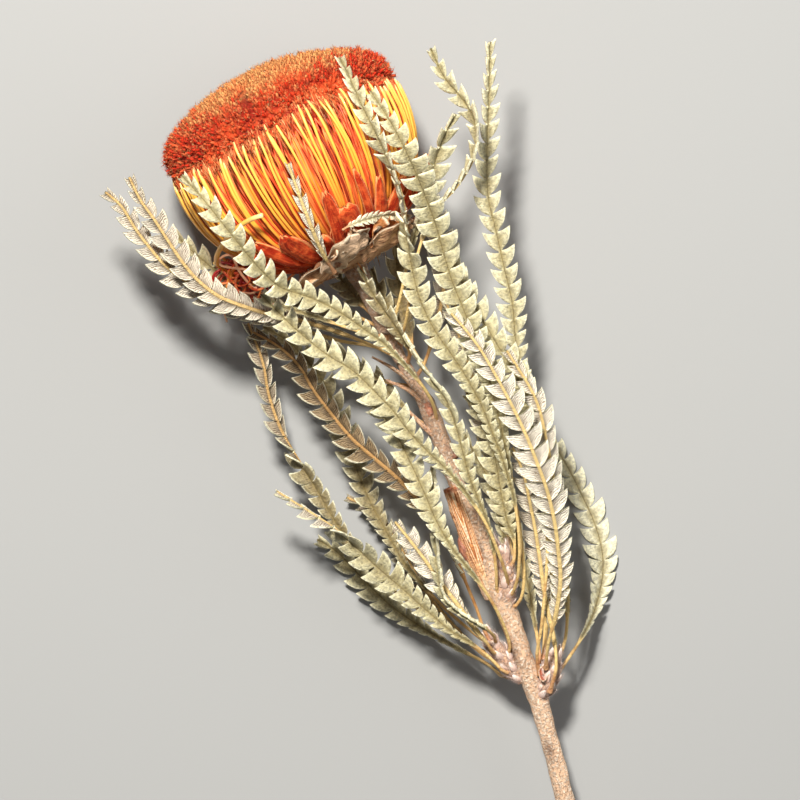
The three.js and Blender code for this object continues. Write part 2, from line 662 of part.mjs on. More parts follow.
// Red woolly perianths: one turned body with rows of tufts over its dome. Rows: out, along, tuft height.
const perianthProfile = [
  [5, 3.3, 0], [13, 5.6, 0], [20, 10, 0], [24.6, 14.4, 0], [27.8, 20, 0], [29.4, 27, 0], [29.3, 33, 0], [29.6, 35.4, 0],
  [33, 36.6, 0.4], [33.6, 39, 0.9], [32.4, 41.8, 0.9], [29.6, 44.6, 0.9], [25.2, 47.2, 0.9], [19, 49.5, 0.9],
  [11.5, 51.3, 0.8], [4, 52, 0.3],
];

function perianthSolid() {
  const columns = 44;
  const shell = new Shell();
  const foot = shell.point(onHead(0, perianthProfile[0][1], 0));
  const crown = shell.point(onHead(0, 52.4, 0));
  const rows = perianthProfile.map(([out, along, tuft], i) => {
    const row = [];
    for (let k = 0; k < columns; k += 1) {
      const angle = (2 * Math.PI * (k + (i % 2) * 0.5)) / columns;
      const lift = tuft * ((k + i) % 2 ? 1 : -0.6);
      const p = onHead(out + lift * (along > 44 ? 0.5 : 1), along + (along > 44 ? lift : 0), angle);
      // The wool is pressed flat where the head lies on it.
      if (p.z < 1.1) {
        p.z = 0;
      }
      row.push(shell.point(p));
    }
    return row;
  });
  const wrap = (k) => (k + columns) % columns;
  for (let k = 0; k < columns; k += 1) {
    shell.triangle(foot, rows[0][k], rows[0][wrap(k + 1)]);
    shell.triangle(crown, rows[rows.length - 1][wrap(k + 1)], rows[rows.length - 1][k]);
  }
  for (let i = 0; i + 1 < rows.length; i += 1) {
    for (let k = 0; k < columns; k += 1) {
      const a = rows[i][k];
      const b = rows[i][wrap(k + 1)];
      // Each row is half a column round from the one before it.
      if (i % 2 === 0) {
        shell.triangle(a, rows[i + 1][k], b);
        shell.triangle(b, rows[i + 1][k], rows[i + 1][wrap(k + 1)]);
      } else {
        shell.triangle(a, rows[i + 1][wrap(k + 1)], b);
        shell.triangle(a, rows[i + 1][k], rows[i + 1][wrap(k + 1)]);
      }
    }
  }
  return shell.solid();
}

// Yellow styles: rods that leave a small disc at the base and loop up to the wool. Rows: out, along.
const stylePath = [
  [6.8, 1.5], [13, 2.4], [21, 6], [27, 11.5], [31, 19], [32.6, 26.5], [32.4, 31.5], [31.8, 33.8],
];
// Loose styles that hang out at the lower left, on the sheet: across, down, height.
const looseStyles = [
  [[302, 265, 20], [272, 272, 20], [245, 276, 20.5], [226, 272, 22.5], [217, 262, 28], [222, 248, 37], [236, 232, 47], [250, 222, 52.5], [264, 217, 55]],
  [[302, 265, 18.8], [276, 276, 16], [252, 284, 14], [238, 282, 14], [230, 268, 15], [222, 258, 18], [214, 264, 20]],
  [[302, 266, 18], [282, 284, 13], [258, 296, 8], [240, 301, 6], [222, 299, 5]],
  [[302, 264, 21], [276, 274, 23], [254, 276, 24], [241, 268, 24.5], [232, 272, 24.5], [227, 288, 24]],
];

function discSolid(out, from, to, sides) {
  const rings = [from, to].map((along) => {
    const ring = [];
    for (let k = 0; k < sides; k += 1) {
      ring.push(onHead(out, along, (2 * Math.PI * k) / sides));
    }
    return ring;
  });
  return tubeOf(rings);
}

// A yellow rod at one of the evenly spread places round the head, thin at its foot and a little off its neighbours' path.
function styleSolid(index, count) {
  const angle = (2 * Math.PI * (index + 0.3 * chance(index))) / count;
  const reach = 1 + 0.035 * (chance(index + 90) - 0.5) - 0.02 * (index % 2);
  const steps = 5;
  const rings = [];
  for (let i = 0; i <= steps; i += 1) {
    const [out, along] = spline(stylePath, i / steps);
    const radius = 0.45 + 0.5 * Math.min(1, i / 2);
    const grow = i === 0 ? 1 : reach;
    const around = angle + (i > 1 ? 0.04 * Math.sin(i * 1.1 + index) : 0);
    const centre = onHead(out * grow, along * (i === steps ? 1 : grow), around);
    centre.z = Math.max(centre.z, radius * 0.9);
    const right = head.right.clone().multiplyScalar(Math.cos(around)).addScaledVector(head.up, -Math.sin(around));
    const [nextOut, nextAlong] = spline(stylePath, (i + 0.5) / steps);
    const [lastOut, lastAlong] = spline(stylePath, (i - 0.5) / steps);
    const tangent = onHead(nextOut, nextAlong, around).sub(onHead(lastOut, lastAlong, around)).normalize();
    const up = new THREE.Vector3().crossVectors(right, tangent).normalize();
    rings.push(ringAround({ p: centre, up, right }, radius, 3, Math.PI / 2));
  }
  return tubeOf(rings);
}

function stylesSolid() {
  const count = 52;
  const list = [discSolid(8, 0.4, 2.7, 16)];
  for (let i = 0; i < count; i += 1) {
    list.push(styleSolid(i, count));
  }
  for (const rows of looseStyles) {
    const start = onHead(6, 1.4, 262 * radians);
    const path = thread(rows);
    const rings = [];
    const steps = Math.round(path.total / 5);
    rings.push(ringAround({ ...path.frame(0), p: start }, 0.7, 3, 1));
    for (let i = 0; i <= steps; i += 1) {
      rings.push(ringAround(path.frame((path.total * i) / steps), 0.62, 3, 1));
    }
    list.push(tubeOf(rings));
  }
  return wasm.Manifold.union(list);
}

// A strip that follows the side of the head at a distance outside the styles, bent across by its crumple.
function headStrip({ angle, offset, from, to, halfWidth, depth, steps, crumple, seed, pointed }) {
  const rings = [];
  for (let i = 0; i <= steps; i += 1) {
    const t = i / steps;
    const f = from + (to - from) * t;
    const [out, along] = spline(stylePath, f);
    const [out2, along2] = spline(stylePath, Math.min(1, f + 0.02));
    const [out1, along1] = spline(stylePath, Math.max(0, f - 0.02));
    const length = Math.hypot(out2 - out1, along2 - along1);
    const normal = [(along2 - along1) / length, -(out2 - out1) / length];
    const share = pointed ? Math.pow(Math.sin(Math.PI * (0.1 + 0.84 * t)), 0.7) : Math.min(1, 0.3 + 1.4 * t);
    const half = halfWidth * share;
    const wave = crumple * Math.min(1, 3 * t) * Math.sin(t * 9 + seed);
    const ring = [];
    const corners = [[-1, 0], [1, 0], [1, 1], [-1, 1]];
    for (const [side, inner] of corners) {
      const lift = offset + wave * side + (inner ? 0 : depth);
      const o = out + normal[0] * lift;
      const a = along + normal[1] * lift;
      ring.push(onHead(o, a, angle + (side * half) / Math.max(o, 6)));
    }
    rings.push(ring);
  }
  return tubeOf(rings);
}

// Velvety bracts on a cup under the styles. Rows: angle in degrees, reach along the style path, half width.
const bractRows = [
  [-60, 0.44, 2.4], [-36, 0.43, 3.6], [-12, 0.5, 2.4], [6, 0.46, 3], [26, 0.54, 2.2], [44, 0.47, 3.1], [64, 0.43, 2.6],
  [86, 0.46, 2.4], [108, 0.42, 2.8], [132, 0.38, 2.8], [156, 0.34, 2.8], [180, 0.33, 2.8], [204, 0.34, 2.8],
  [228, 0.37, 2.6],
];

function involucreSolid() {
  const list = [discSolid(8.8, -1.9, -0.2, 18)];
  bractRows.forEach(([degrees, reach, halfWidth], i) => {
    list.push(
      headStrip({
        angle: degrees * radians, offset: 1.8, from: 0.02, to: reach, halfWidth, depth: 1, steps: 5,
        crumple: 0.2, seed: i, pointed: true,
      }),
    );
  });
  return wasm.Manifold.union(list);
}

// Dry collar bracts. Rows: angle in degrees, reach along the style path, half width.
const collarRows = [
  [-54, 0.3, 3.2], [-12, 0.26, 3.6], [34, 0.3, 3.4], [78, 0.26, 3.4], [128, 0.22, 3], [176, 0.2, 3], [222, 0.22, 3],
];

function collarSolid() {
  const ring = discSolid(8.4, -4.6, -3, 16).subtract(discSolid(4.2, -6, -1.5, 16));
  const list = [ring];
  collarRows.forEach(([degrees, reach, halfWidth], i) => {
    list.push(
      headStrip({
        angle: degrees * radians, offset: 4.2, from: 0.02, to: reach, halfWidth, depth: 0.8, steps: 5,
        crumple: 0.7, seed: i * 2.1, pointed: false,
      }),
    );
  });
  return wasm.Manifold.union(list);
}

function stemSolid() {
  const list = [roundTube(stemLine, 8, 8, 0.03, 1)];
  const top = [[-9, 2.2], [-5, 2.9], [-3.2, 3.6], [-2.3, 3.8]];
  const rings = top.map(([along, out]) => {
    const ring = [];
    for (let k = 0; k < 10; k += 1) {
      ring.push(onHead(out, along, (2 * Math.PI * k) / 10));
    }
    return ring;
  });
  list.push(tubeOf(rings));
  for (const rows of Object.values(shoots)) {
    list.push(roundTube(rows, 7, 3.2, 0.05, 3));
  }
  for (const rows of stubs) {
    list.push(roundTube(rows, 5, 4.5, 0.05, 5));
  }
  return wasm.Manifold.union(list);
}

function meshOf(name, solid, material) {
  const data = solid.getMesh();
  const geometry = new THREE.BufferGeometry();
  const positions = new Float32Array(data.numVert * 3);
  for (let i = 0; i < data.numVert; i += 1) {
    for (let k = 0; k < 3; k += 1) {
      positions[i * 3 + k] = data.vertProperties[i * data.numProp + k];
    }
  }
  geometry.setAttribute("position", new THREE.BufferAttribute(positions, 3));
  geometry.setIndex(new THREE.BufferAttribute(data.triVerts, 1));
  geometry.computeVertexNormals();
  const mesh = new THREE.Mesh(geometry, new THREE.MeshStandardMaterial(materials[material]));
  mesh.name = name;
  return mesh;
}

const flower = new THREE.Group();
flower.name = "dried_banksia_flower";
flower.add(meshOf("stem", stemSolid(), "bark"));
flower.add(meshOf("perianths", perianthSolid(), "perianthRed"));
flower.add(meshOf("styles", stylesSolid(), "styleYellow"));
flower.add(meshOf("involucral_bracts", involucreSolid(), "bractRust"));
flower.add(meshOf("collar_bracts", collarSolid(), "dryBrown"));
for (const leaf of leaves) {
  flower.add(meshOf("leaf_" + leaf.name, leafSolid(leaf), "leafGreen"));
}

export default flower;
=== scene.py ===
import math

import bpy
import numpy as np
from mathutils import Matrix, Vector


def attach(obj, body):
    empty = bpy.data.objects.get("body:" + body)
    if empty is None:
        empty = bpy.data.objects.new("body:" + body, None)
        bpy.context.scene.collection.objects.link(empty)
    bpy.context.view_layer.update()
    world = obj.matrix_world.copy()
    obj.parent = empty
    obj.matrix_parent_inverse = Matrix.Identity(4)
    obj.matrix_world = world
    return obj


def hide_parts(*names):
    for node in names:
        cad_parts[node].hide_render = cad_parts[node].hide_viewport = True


# A dried and dyed banksia flower on its leafy stem, lying down, with the head towards +Y.
# Shapes are worked out in millimetres on a flat sheet and then laid into the part's own frame.

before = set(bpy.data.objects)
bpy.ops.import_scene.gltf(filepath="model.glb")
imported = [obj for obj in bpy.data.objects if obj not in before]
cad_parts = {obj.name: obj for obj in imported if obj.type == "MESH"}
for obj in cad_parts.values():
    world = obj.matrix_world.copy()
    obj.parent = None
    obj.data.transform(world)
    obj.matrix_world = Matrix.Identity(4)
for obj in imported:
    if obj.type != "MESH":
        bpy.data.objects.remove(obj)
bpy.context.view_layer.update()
print("frame loaded:", len(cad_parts), "nodes")

sheet = {
    "step": 0.26,  # millimetres to one step across or down
    "middle": 400,
    "cutEnd": 1123,  # how far down the stem's cut end is
    "run": 861,  # from there up to the head
    "turn": math.radians(22),
    "shift": (-2.9, 54.1),
    "climb": 8.2,  # how far the stem rises from its cut end to the head
}


def smoothStep(value):
    # 3t^2 - 2t^3 between 0 and 1
    t = np.clip(value, 0, 1)
    return t * t * (3 - 2 * t)


def chance(seed):
    # a seeded value between 0 and 1 for each number
    v = np.sin(np.asarray(seed, float) * 127.1 + 31.7) * 43758.5453
    return v - np.floor(v)


def spread(seed):
    # a seeded value between -1 and 1
    return 2 * chance(seed) - 1


def unit(v):
    return v / np.maximum(np.linalg.norm(v, axis=-1, keepdims=True), 1e-9)


def turns(count):
    # so many even steps round a full turn
    return 2 * math.pi * np.arange(count) / count


def circle(first, second, angle):
    # points of the unit circle through two directions
    angle = np.asarray(angle, float)[..., None]
    return first * np.cos(angle) + second * np.sin(angle)


def fromSheet(rows):
    # across and down become x and y, and the height gains the climb towards the head
    rows = np.asarray(rows, float)
    across, down, height = rows[..., 0], rows[..., 1], rows[..., 2]
    lift = sheet["climb"] * (sheet["cutEnd"] - down) / sheet["run"] * smoothStep((height - 3) / 7)
    x = (across - sheet["middle"]) * sheet["step"]
    y = (sheet["middle"] - down) * sheet["step"]
    return np.stack([x, y, height + lift], -1)


def toPart(points):
    # the sheet turned so that the stem runs along Y, shifted, and kept above the floor
    c, s = math.cos(sheet["turn"]), math.sin(sheet["turn"])
    x, y, z = points[..., 0], points[..., 1], points[..., 2]
    moved = [x * c + y * s + sheet["shift"][0], -x * s + y * c + sheet["shift"][1], np.maximum(z, 0)]
    return np.stack(moved, -1)


def splineAt(rows, t):
    # uniform Catmull-Rom curve through the rows, with mirrored neighbours at both ends
    rows = np.asarray(rows, float)
    last = len(rows) - 1
    f = np.clip(np.asarray(t, float), 0, 1) * last
    i = np.minimum(f.astype(int), last - 1)
    u = (f - i)[..., None]
    padded = np.vstack([2 * rows[0] - rows[1], rows, 2 * rows[-1] - rows[-2]])
    p0, p1, p2, p3 = (padded[i + k] for k in range(4))
    curve = 2 * p1 + (p2 - p0) * u + (2 * p0 - 5 * p1 + 4 * p2 - p3) * u**2
    return 0.5 * (curve + (3 * p1 - p0 - 3 * p2 + p3) * u**3)


def bezierAt(rows, t):
    # cubic Bezier curve of four points
    a, b, c, d = (np.asarray(row, float) for row in rows)
    t = np.asarray(t, float)[..., None]
    return a * (1 - t) ** 3 + 3 * b * t * (1 - t) ** 2 + 3 * c * t * t * (1 - t) + d * t**3


def layPath(rows):
    # fine samples of the curve through the rows, with their running length
    rows = np.asarray(rows, float)
    count = (len(rows) - 1) * 12
    fine = splineAt(rows, np.arange(count + 1) / count)
    points = fromSheet(fine)
    run = np.concatenate([[0], np.cumsum(np.linalg.norm(np.diff(points, axis=0), axis=1))])
    return {"table": np.hstack([points, fine[:, 3:]]), "run": run, "length": run[-1]}


def alongPath(path, s):
    # the row of the path at distance s
    return np.stack([np.interp(s, path["run"], column) for column in path["table"].T], -1)


def pathFrames(path, s, step=0.8):
    # centre, values, forward, right and up at distance s, carried on in a straight line past the end
    s = np.asarray(s, float)
    inside = np.clip(s, 0, path["length"])
    here = alongPath(path, inside)
    forward = unit(alongPath(path, inside + step)[..., :3] - alongPath(path, inside - step)[..., :3])
    up = unit(np.array([0, 0, 1.0]) - forward * forward[..., 2:3])
    right = np.cross(forward, up)
    centre = here[..., :3] + forward * (s - inside)[..., None]
    return centre, here[..., 3:], forward, right, up


def closedShape(points, quads, tris):
    # a closed surface, its faces turned round when it would hold a negative volume
    total = 0.0
    for faces in (quads, tris):
        for k in range(2, faces.shape[1]):
            a, b, c = points[faces[:, 0]], points[faces[:, k - 1]], points[faces[:, k]]
            total += np.einsum("ij,ij->i", a, np.cross(b, c)).sum()
    if total < 0:
        quads, tris = quads[:, ::-1], tris[:, ::-1]
    return {"points": points, "quads": quads, "tris": tris, "values": {}, "faceValues": {}}


def sweep(rings, values=None, sideValues=None):
    # closed tubes from rings of equal size (tubes, rings, sides, 3), each end shut by a fan round its centre
    rings = np.asarray(rings, float)
    if rings.ndim == 3:
        rings = rings[None]
    tubes, count, sides = rings.shape[:3]
    ids = np.arange(tubes * count * sides).reshape(tubes, count, sides)
    turned = np.roll(ids, -1, 2)
    quads = np.stack([ids[:, :-1], turned[:, :-1], turned[:, 1:], ids[:, 1:]], -1).reshape(-1, 4)
    ends = rings[:, [0, -1]].mean(2)
    endIds = ids.size + np.arange(tubes * 2).reshape(tubes, 2)
    startId = np.repeat(endIds[:, :1], sides, 1)
    stopId = np.repeat(endIds[:, 1:], sides, 1)
    startFan = np.stack([startId, turned[:, 0], ids[:, 0]], -1)
    stopFan = np.stack([stopId, ids[:, -1], turned[:, -1]], -1)
    tris = np.concatenate([startFan, stopFan]).reshape(-1, 3)
    shape = closedShape(np.vstack([rings.reshape(-1, 3), ends.reshape(-1, 3)]), quads, tris)
    for name, value in (values or {}).items():
        grid = np.broadcast_to(np.asarray(value, float), (tubes, count, sides))
        shape["values"][name] = np.concatenate([grid.ravel(), grid[:, [0, -1]].mean(2).ravel()])
    for name, value in (sideValues or {}).items():
        body = np.broadcast_to(np.asarray(value, float), (tubes, count - 1, sides)).ravel()
        shape["faceValues"][name] = np.concatenate([body, np.zeros(2 * tubes * sides)])
    return shape


def spikes(roots, tips, widths, values):
    # three-sided closed spikes: a small triangle round each root, drawn out to the tip. Each value is given
    # at the root and at the tip.
    count = len(roots)
    forward = unit(tips - roots)
    aside = unit(np.cross(forward, np.array([0.31, 0.52, 0.79])))
    other = np.cross(forward, aside)
    half = np.asarray(widths, float).reshape(-1, 1, 1) / 2
    ring = roots[:, None] + circle(aside[:, None], other[:, None], turns(3)) * half
    points = np.concatenate([ring, tips[:, None]], 1).reshape(-1, 3)
    pattern = np.array([[0, 1, 3], [1, 2, 3], [2, 0, 3], [0, 2, 1]])
    tris = (4 * np.arange(count)[:, None, None] + pattern).reshape(-1, 3)
    shape = closedShape(points, np.zeros((0, 4), int), tris)
    for name, (low, high) in values.items():
        column = np.stack([np.broadcast_to(low, count)] * 3 + [np.broadcast_to(high, count)], 1)
        shape["values"][name] = column.ravel().astype(float)
    return shape


def merge(shapes):
    # several shapes in one mesh; a value that one of them lacks is 0 there
    starts = np.cumsum([0] + [len(shape["points"]) for shape in shapes])
    made = {
        "points": np.vstack([shape["points"] for shape in shapes]),
        "quads": np.vstack([shape["quads"] + n for shape, n in zip(shapes, starts)]),
        "tris": np.vstack([shape["tris"] + n for shape, n in zip(shapes, starts)]),
        "values": {},
        "faceValues": {},
    }
    for name in sorted({n for shape in shapes for n in shape["values"]}):
        parts = [shape["values"].get(name, np.zeros(len(shape["points"]))) for shape in shapes]
        made["values"][name] = np.concatenate(parts)
    return made


def fuzzOn(shape, count, long, wide, seed, lean, spreadOut=0.6):
    # short hairs rooted all over a shape's faces, standing out and leaning one way
    index = np.arange(count)
    a, b, c, d = (shape["points"][shape["quads"][:, k]] for k in range(4))
    normal = np.cross(c - a, d - b)
    area = np.linalg.norm(normal, axis=1)
    order = np.searchsorted(np.cumsum(area) / area.sum(), chance(index * 1.91 + seed))
    order = np.minimum(order, len(area) - 1)
    u, v = chance(index + seed + 0.5)[:, None], chance(index * 1.3 + seed)[:, None]
    root = (a[order] * (1 - u) + b[order] * u) * (1 - v) + (d[order] * (1 - u) + c[order] * u) * v
    stray = np.stack([spread(index + seed + k) for k in (3, 17, 29)], 1)
    going = unit(unit(normal[order]) + np.asarray(lean, float) + spreadOut * stray)
    tips = root + going * (long * (0.5 + chance(index + seed + 43))[:, None])
    tone = spread(index + seed + 57)
    values = {"along": (0.3, 1.0), "tone": (tone, tone), "margin": (0.4, 0.9)}
    return spikes(root, tips, wide * (0.8 + 0.4 * chance(index + seed + 61)), values)


triangleCount = {"all": 0}


def addPiece(name, shape, material, nodes=(), sharpAngle=None):
    # a mesh object in metres that rides on the part and stands for the named CAD nodes
    points = toPart(shape["points"]) * 0.001
    quads, tris = shape["quads"], shape["tris"]
    corners = np.concatenate([quads.ravel(), tris.ravel()]).astype(np.int32)
    starts = np.concatenate([np.arange(len(quads)) * 4, len(quads) * 4 + np.arange(len(tris)) * 3])
    mesh = bpy.data.meshes.new(name)
    mesh.vertices.add(len(points))
    mesh.vertices.foreach_set("co", points.astype(np.float32).ravel())
    mesh.loops.add(len(corners))
    mesh.loops.foreach_set("vertex_index", corners)
    mesh.polygons.add(len(starts))
    mesh.polygons.foreach_set("loop_start", starts.astype(np.int32))
    for domain, values in (("POINT", shape["values"]), ("FACE", shape["faceValues"])):
        for key, value in values.items():
            mesh.attributes.new(key, "FLOAT", domain).data.foreach_set("value", value.astype(np.float32))
    mesh.update(calc_edges=True)
    mesh.validate()
    mesh.shade_smooth()
    if sharpAngle:
        mesh.set_sharp_from_angle(angle=math.radians(sharpAngle))
    mesh.materials.append(material)
    piece = bpy.data.objects.new(name, mesh)
    bpy.context.scene.collection.objects.link(piece)
    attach(piece, "root")
    if nodes:
        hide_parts(*nodes)
    triangles = 2 * len(quads) + len(tris)
    triangleCount["all"] += triangles
    print(f"{name}: {triangles} triangles")


def tubeAlong(rows, radius, sides, spacing, tone):
    # a round tube along the path; the radius is a length, or follows the share of the way
    path = layPath(rows)
    s = np.linspace(0, path["length"], max(3, int(round(path["length"] / spacing)) + 1))
    centre, _, _, right, up = pathFrames(path, s)
    share = (s / path["length"])[:, None]
    reach = radius(share) if callable(radius) else np.full((len(s), 1), float(radius))
    rings = centre[:, None] + circle(right[:, None], up[:, None], turns(sides)) * reach[..., None]
    return sweep(rings, {"along": share, "tone": tone})


# Finishes

def paint(red, green, blue):
    # a colour as it looks on a screen, made linear for the shader
    linear = [v / 12.92 if v <= 0.04045 else ((v + 0.055) / 1.055) ** 2.4 for v in (red, green, blue)]
    return (*linear, 1.0)


class Nodes:
    # the nodes of one shader tree; a string among their inputs stands for a colour of the palette
    def __init__(self, tree, palette=None):
        self.tree = tree
        self.palette = palette

    def add(self, kind, settings=None, inputs=None):
        # a node with its settings, its inputs set or linked, given back as its outputs
        made = self.tree.nodes.new(kind)
        for key, value in (settings or {}).items():
            setattr(made, key, value)
        for key, value in (inputs or {}).items():
            if isinstance(value, bpy.types.NodeSocket):
                self.tree.links.new(value, made.inputs[key])
            else:
                made.inputs[key].default_value = self.palette[value] if isinstance(value, str) else value
        return made.outputs

    def read(self, *names):
        # the values that the meshes carry
        return [self.add("ShaderNodeAttribute", {"attribute_name": name})["Fac"] for name in names]

    def place(self):
        return self.add("ShaderNodeTexCoord")["Object"]

    def noise(self, vector, scale, detail, roughness=0.5):
        inputs = {"Vector": vector, "Scale": scale, "Detail": detail, "Roughness": roughness}
        return self.add("ShaderNodeTexNoise", {"noise_dimensions": "3D"}, inputs)["Fac"]

    def calc(self, operation, a, b=0.0, c=0.0):
        return self.add("ShaderNodeMath", {"operation": operation}, {0: a, 1: b, 2: c})[0]

    def times(self, a, b):
        return self.calc("MULTIPLY", a, b)

    def step(self, value, low, high, first=0.0, second=1.0):
        # smoothly from first at low to second at high
        inputs = {"Value": value, "From Min": low, "From Max": high, "To Min": first, "To Max": second}
        return self.add("ShaderNodeMapRange", {"interpolation_type": "SMOOTHSTEP"}, inputs)[0]

    def mix(self, factor, a, b, blend="MIX"):
        settings = {"data_type": "RGBA", "blend_type": blend}
        return self.add("ShaderNodeMix", settings, {0: factor, 6: a, 7: b})[2]

    def ramp(self, value, stops):
        made = self.tree.nodes.new("ShaderNodeValToRGB")
        self.tree.links.new(value, made.inputs["Fac"])
        elements = made.color_ramp.elements
        while len(elements) < len(stops):
            elements.new(0.5)
        for element, (place, colour) in zip(elements, stops):
            element.position = place
            element.color = self.palette[colour]
        return made.outputs["Color"]

    def group(self, group, **inputs):
        return self.add("ShaderNodeGroup", {"node_tree": group}, inputs)

    def mottled(self, base, spot, scale, low, high):
        return self.group(mottle, Base=base, Spot=spot, Scale=scale, Low=low, High=high)

    def streaked(self, along, strand, length):
        return self.group(streaks, Along=along, Strand=strand, Length=length)["Mask"]


class Finish(Nodes):
    # a Principled material: even values on its own sockets, a colour, and grain over a height
    def __init__(self, name, palette, settings):
        self.material = bpy.data.materials.new(name)
        self.material.use_nodes = True
        super().__init__(self.material.node_tree, palette)
        self.inputs = self.tree.nodes["Principled BSDF"].inputs
        for key, value in settings.items():
            self.inputs[key].default_value = value

    def done(self, colour, height, scale, amount, distance):
        normal = self.group(grain, Height=height, Scale=scale, Amount=amount, Distance=distance)["Normal"]
        self.tree.links.new(colour, self.inputs["Base Color"])
        self.tree.links.new(normal, self.inputs["Normal"])
        return self.material


def newGroup(name, inputs, outputs):
    # a shader node group: its nodes, the sockets that come in and the sockets that go out
    tree = bpy.data.node_groups.new(name, "ShaderNodeTree")
    for label, value in inputs.items():
        kind = "NodeSocketFloat" if isinstance(value, float) else "NodeSocketColor"
        tree.interface.new_socket(name=label, in_out="INPUT", socket_type=kind).default_value = value
    for label, kind in outputs.items():
        tree.interface.new_socket(name=label, in_out="OUTPUT", socket_type="NodeSocket" + kind)
    return Nodes(tree), tree.nodes.new("NodeGroupInput").outputs, tree.nodes.new("NodeGroupOutput").inputs


def makeMottle():
    # two colours in soft patches of the given size, with finer ones on top
    grey = (0.5, 0.5, 0.5, 1)
    inputs = {"Base": grey, "Spot": grey, "Scale": 300.0, "Low": 0.45, "High": 0.62}
    nodes, start, stop = newGroup("mottle", inputs, {"Color": "Color", "Mask": "Float"})
    noise = nodes.noise(nodes.place(), start["Scale"], 4.0, 0.62)
    mask = nodes.step(noise, start["Low"], start["High"])
    nodes.tree.links.new(nodes.mix(mask, start["Base"], start["Spot"]), stop["Color"])
    nodes.tree.links.new(mask, stop["Mask"])
    return nodes.tree


def makeGrain():
    # a fine uneven surface: the normal of a small noise added to a height that the material gives
    inputs = {"Height": 0.0, "Scale": 2500.0, "Amount": 0.5, "Distance": 0.0001}
    nodes, start, stop = newGroup("grain", inputs, {"Normal": "Vector", "Mask": "Float"})
    noise = nodes.noise(nodes.place(), start["Scale"], 3.0, 0.6)
    height = nodes.calc("MULTIPLY_ADD", noise, start["Amount"], start["Height"])
    bump = {"Strength": 1.0, "Distance": start["Distance"], "Height": height}
    nodes.tree.links.new(nodes.add("ShaderNodeBump", inputs=bump)["Normal"], stop["Normal"])
    nodes.tree.links.new(noise, stop["Mask"])
    return nodes.tree


def makeStreaks():
    # long streaks that follow a strand: noise over its own number, stretched along it
    nodes, start, stop = newGroup("streaks", {"Along": 0.0, "Strand": 0.0, "Length": 2.0}, {"Mask": "Float"})
    inputs = {"X": nodes.times(start["Along"], start["Length"]), "Y": start["Strand"]}
    strand = nodes.add("ShaderNodeCombineXYZ", inputs=inputs)[0]
    small = nodes.add("ShaderNodeVectorMath", {"operation": "SCALE"}, {0: nodes.place(), "Scale": 60.0})[0]
    both = nodes.add("ShaderNodeVectorMath", {"operation": "ADD"}, {0: strand, 1: small})[0]
    nodes.tree.links.new(nodes.noise(both, 3.0, 2.0), stop["Mask"])
    return nodes.tree


mottle, grain, streaks = makeMottle(), makeGrain(), makeStreaks()

leafColours = {
    "sage": paint(0.87, 0.845, 0.72),
    "olive": paint(0.78, 0.74, 0.60),
    # painted shade colour for the fold by the rib
    "inner": paint(0.58, 0.52, 0.35),
    # pale cream: partly a leaf's own colour, partly painted light on leaves that lie in the light
    "creamAndLit": paint(0.97, 0.955, 0.87),
    # brown of dry leaves, also painted shade on leaves that lie in shadow
    "dryAndShade": paint(0.49, 0.41, 0.27),
    # pale rim: partly the rolled margin's own colour, partly a painted highlight
    "rim": paint(1.0, 0.985, 0.89),
    # painted shade colour for the groove along the rib
    "groove": paint(0.52, 0.46, 0.29),
    "silver": paint(0.95, 0.92, 0.86),
    "hatch": paint(0.56, 0.48, 0.39),
    # beneath: brown and dark veins of dry leaves, also painted shade on leaves that lie in shadow
    "dryAndShadeUnder": paint(0.62, 0.53, 0.40),
    "dryAndShadeHatch": paint(0.30, 0.22, 0.14),
    "grit": paint(0.76, 0.745, 0.68),
    "rib": paint(0.92, 0.80, 0.54),
    "stalk": paint(0.90, 0.77, 0.50),
    "stalkShade": paint(0.70, 0.47, 0.25),
    "foot": paint(0.72, 0.48, 0.36),
}
hatchStep = 0.55  # millimetres from one side vein to the next


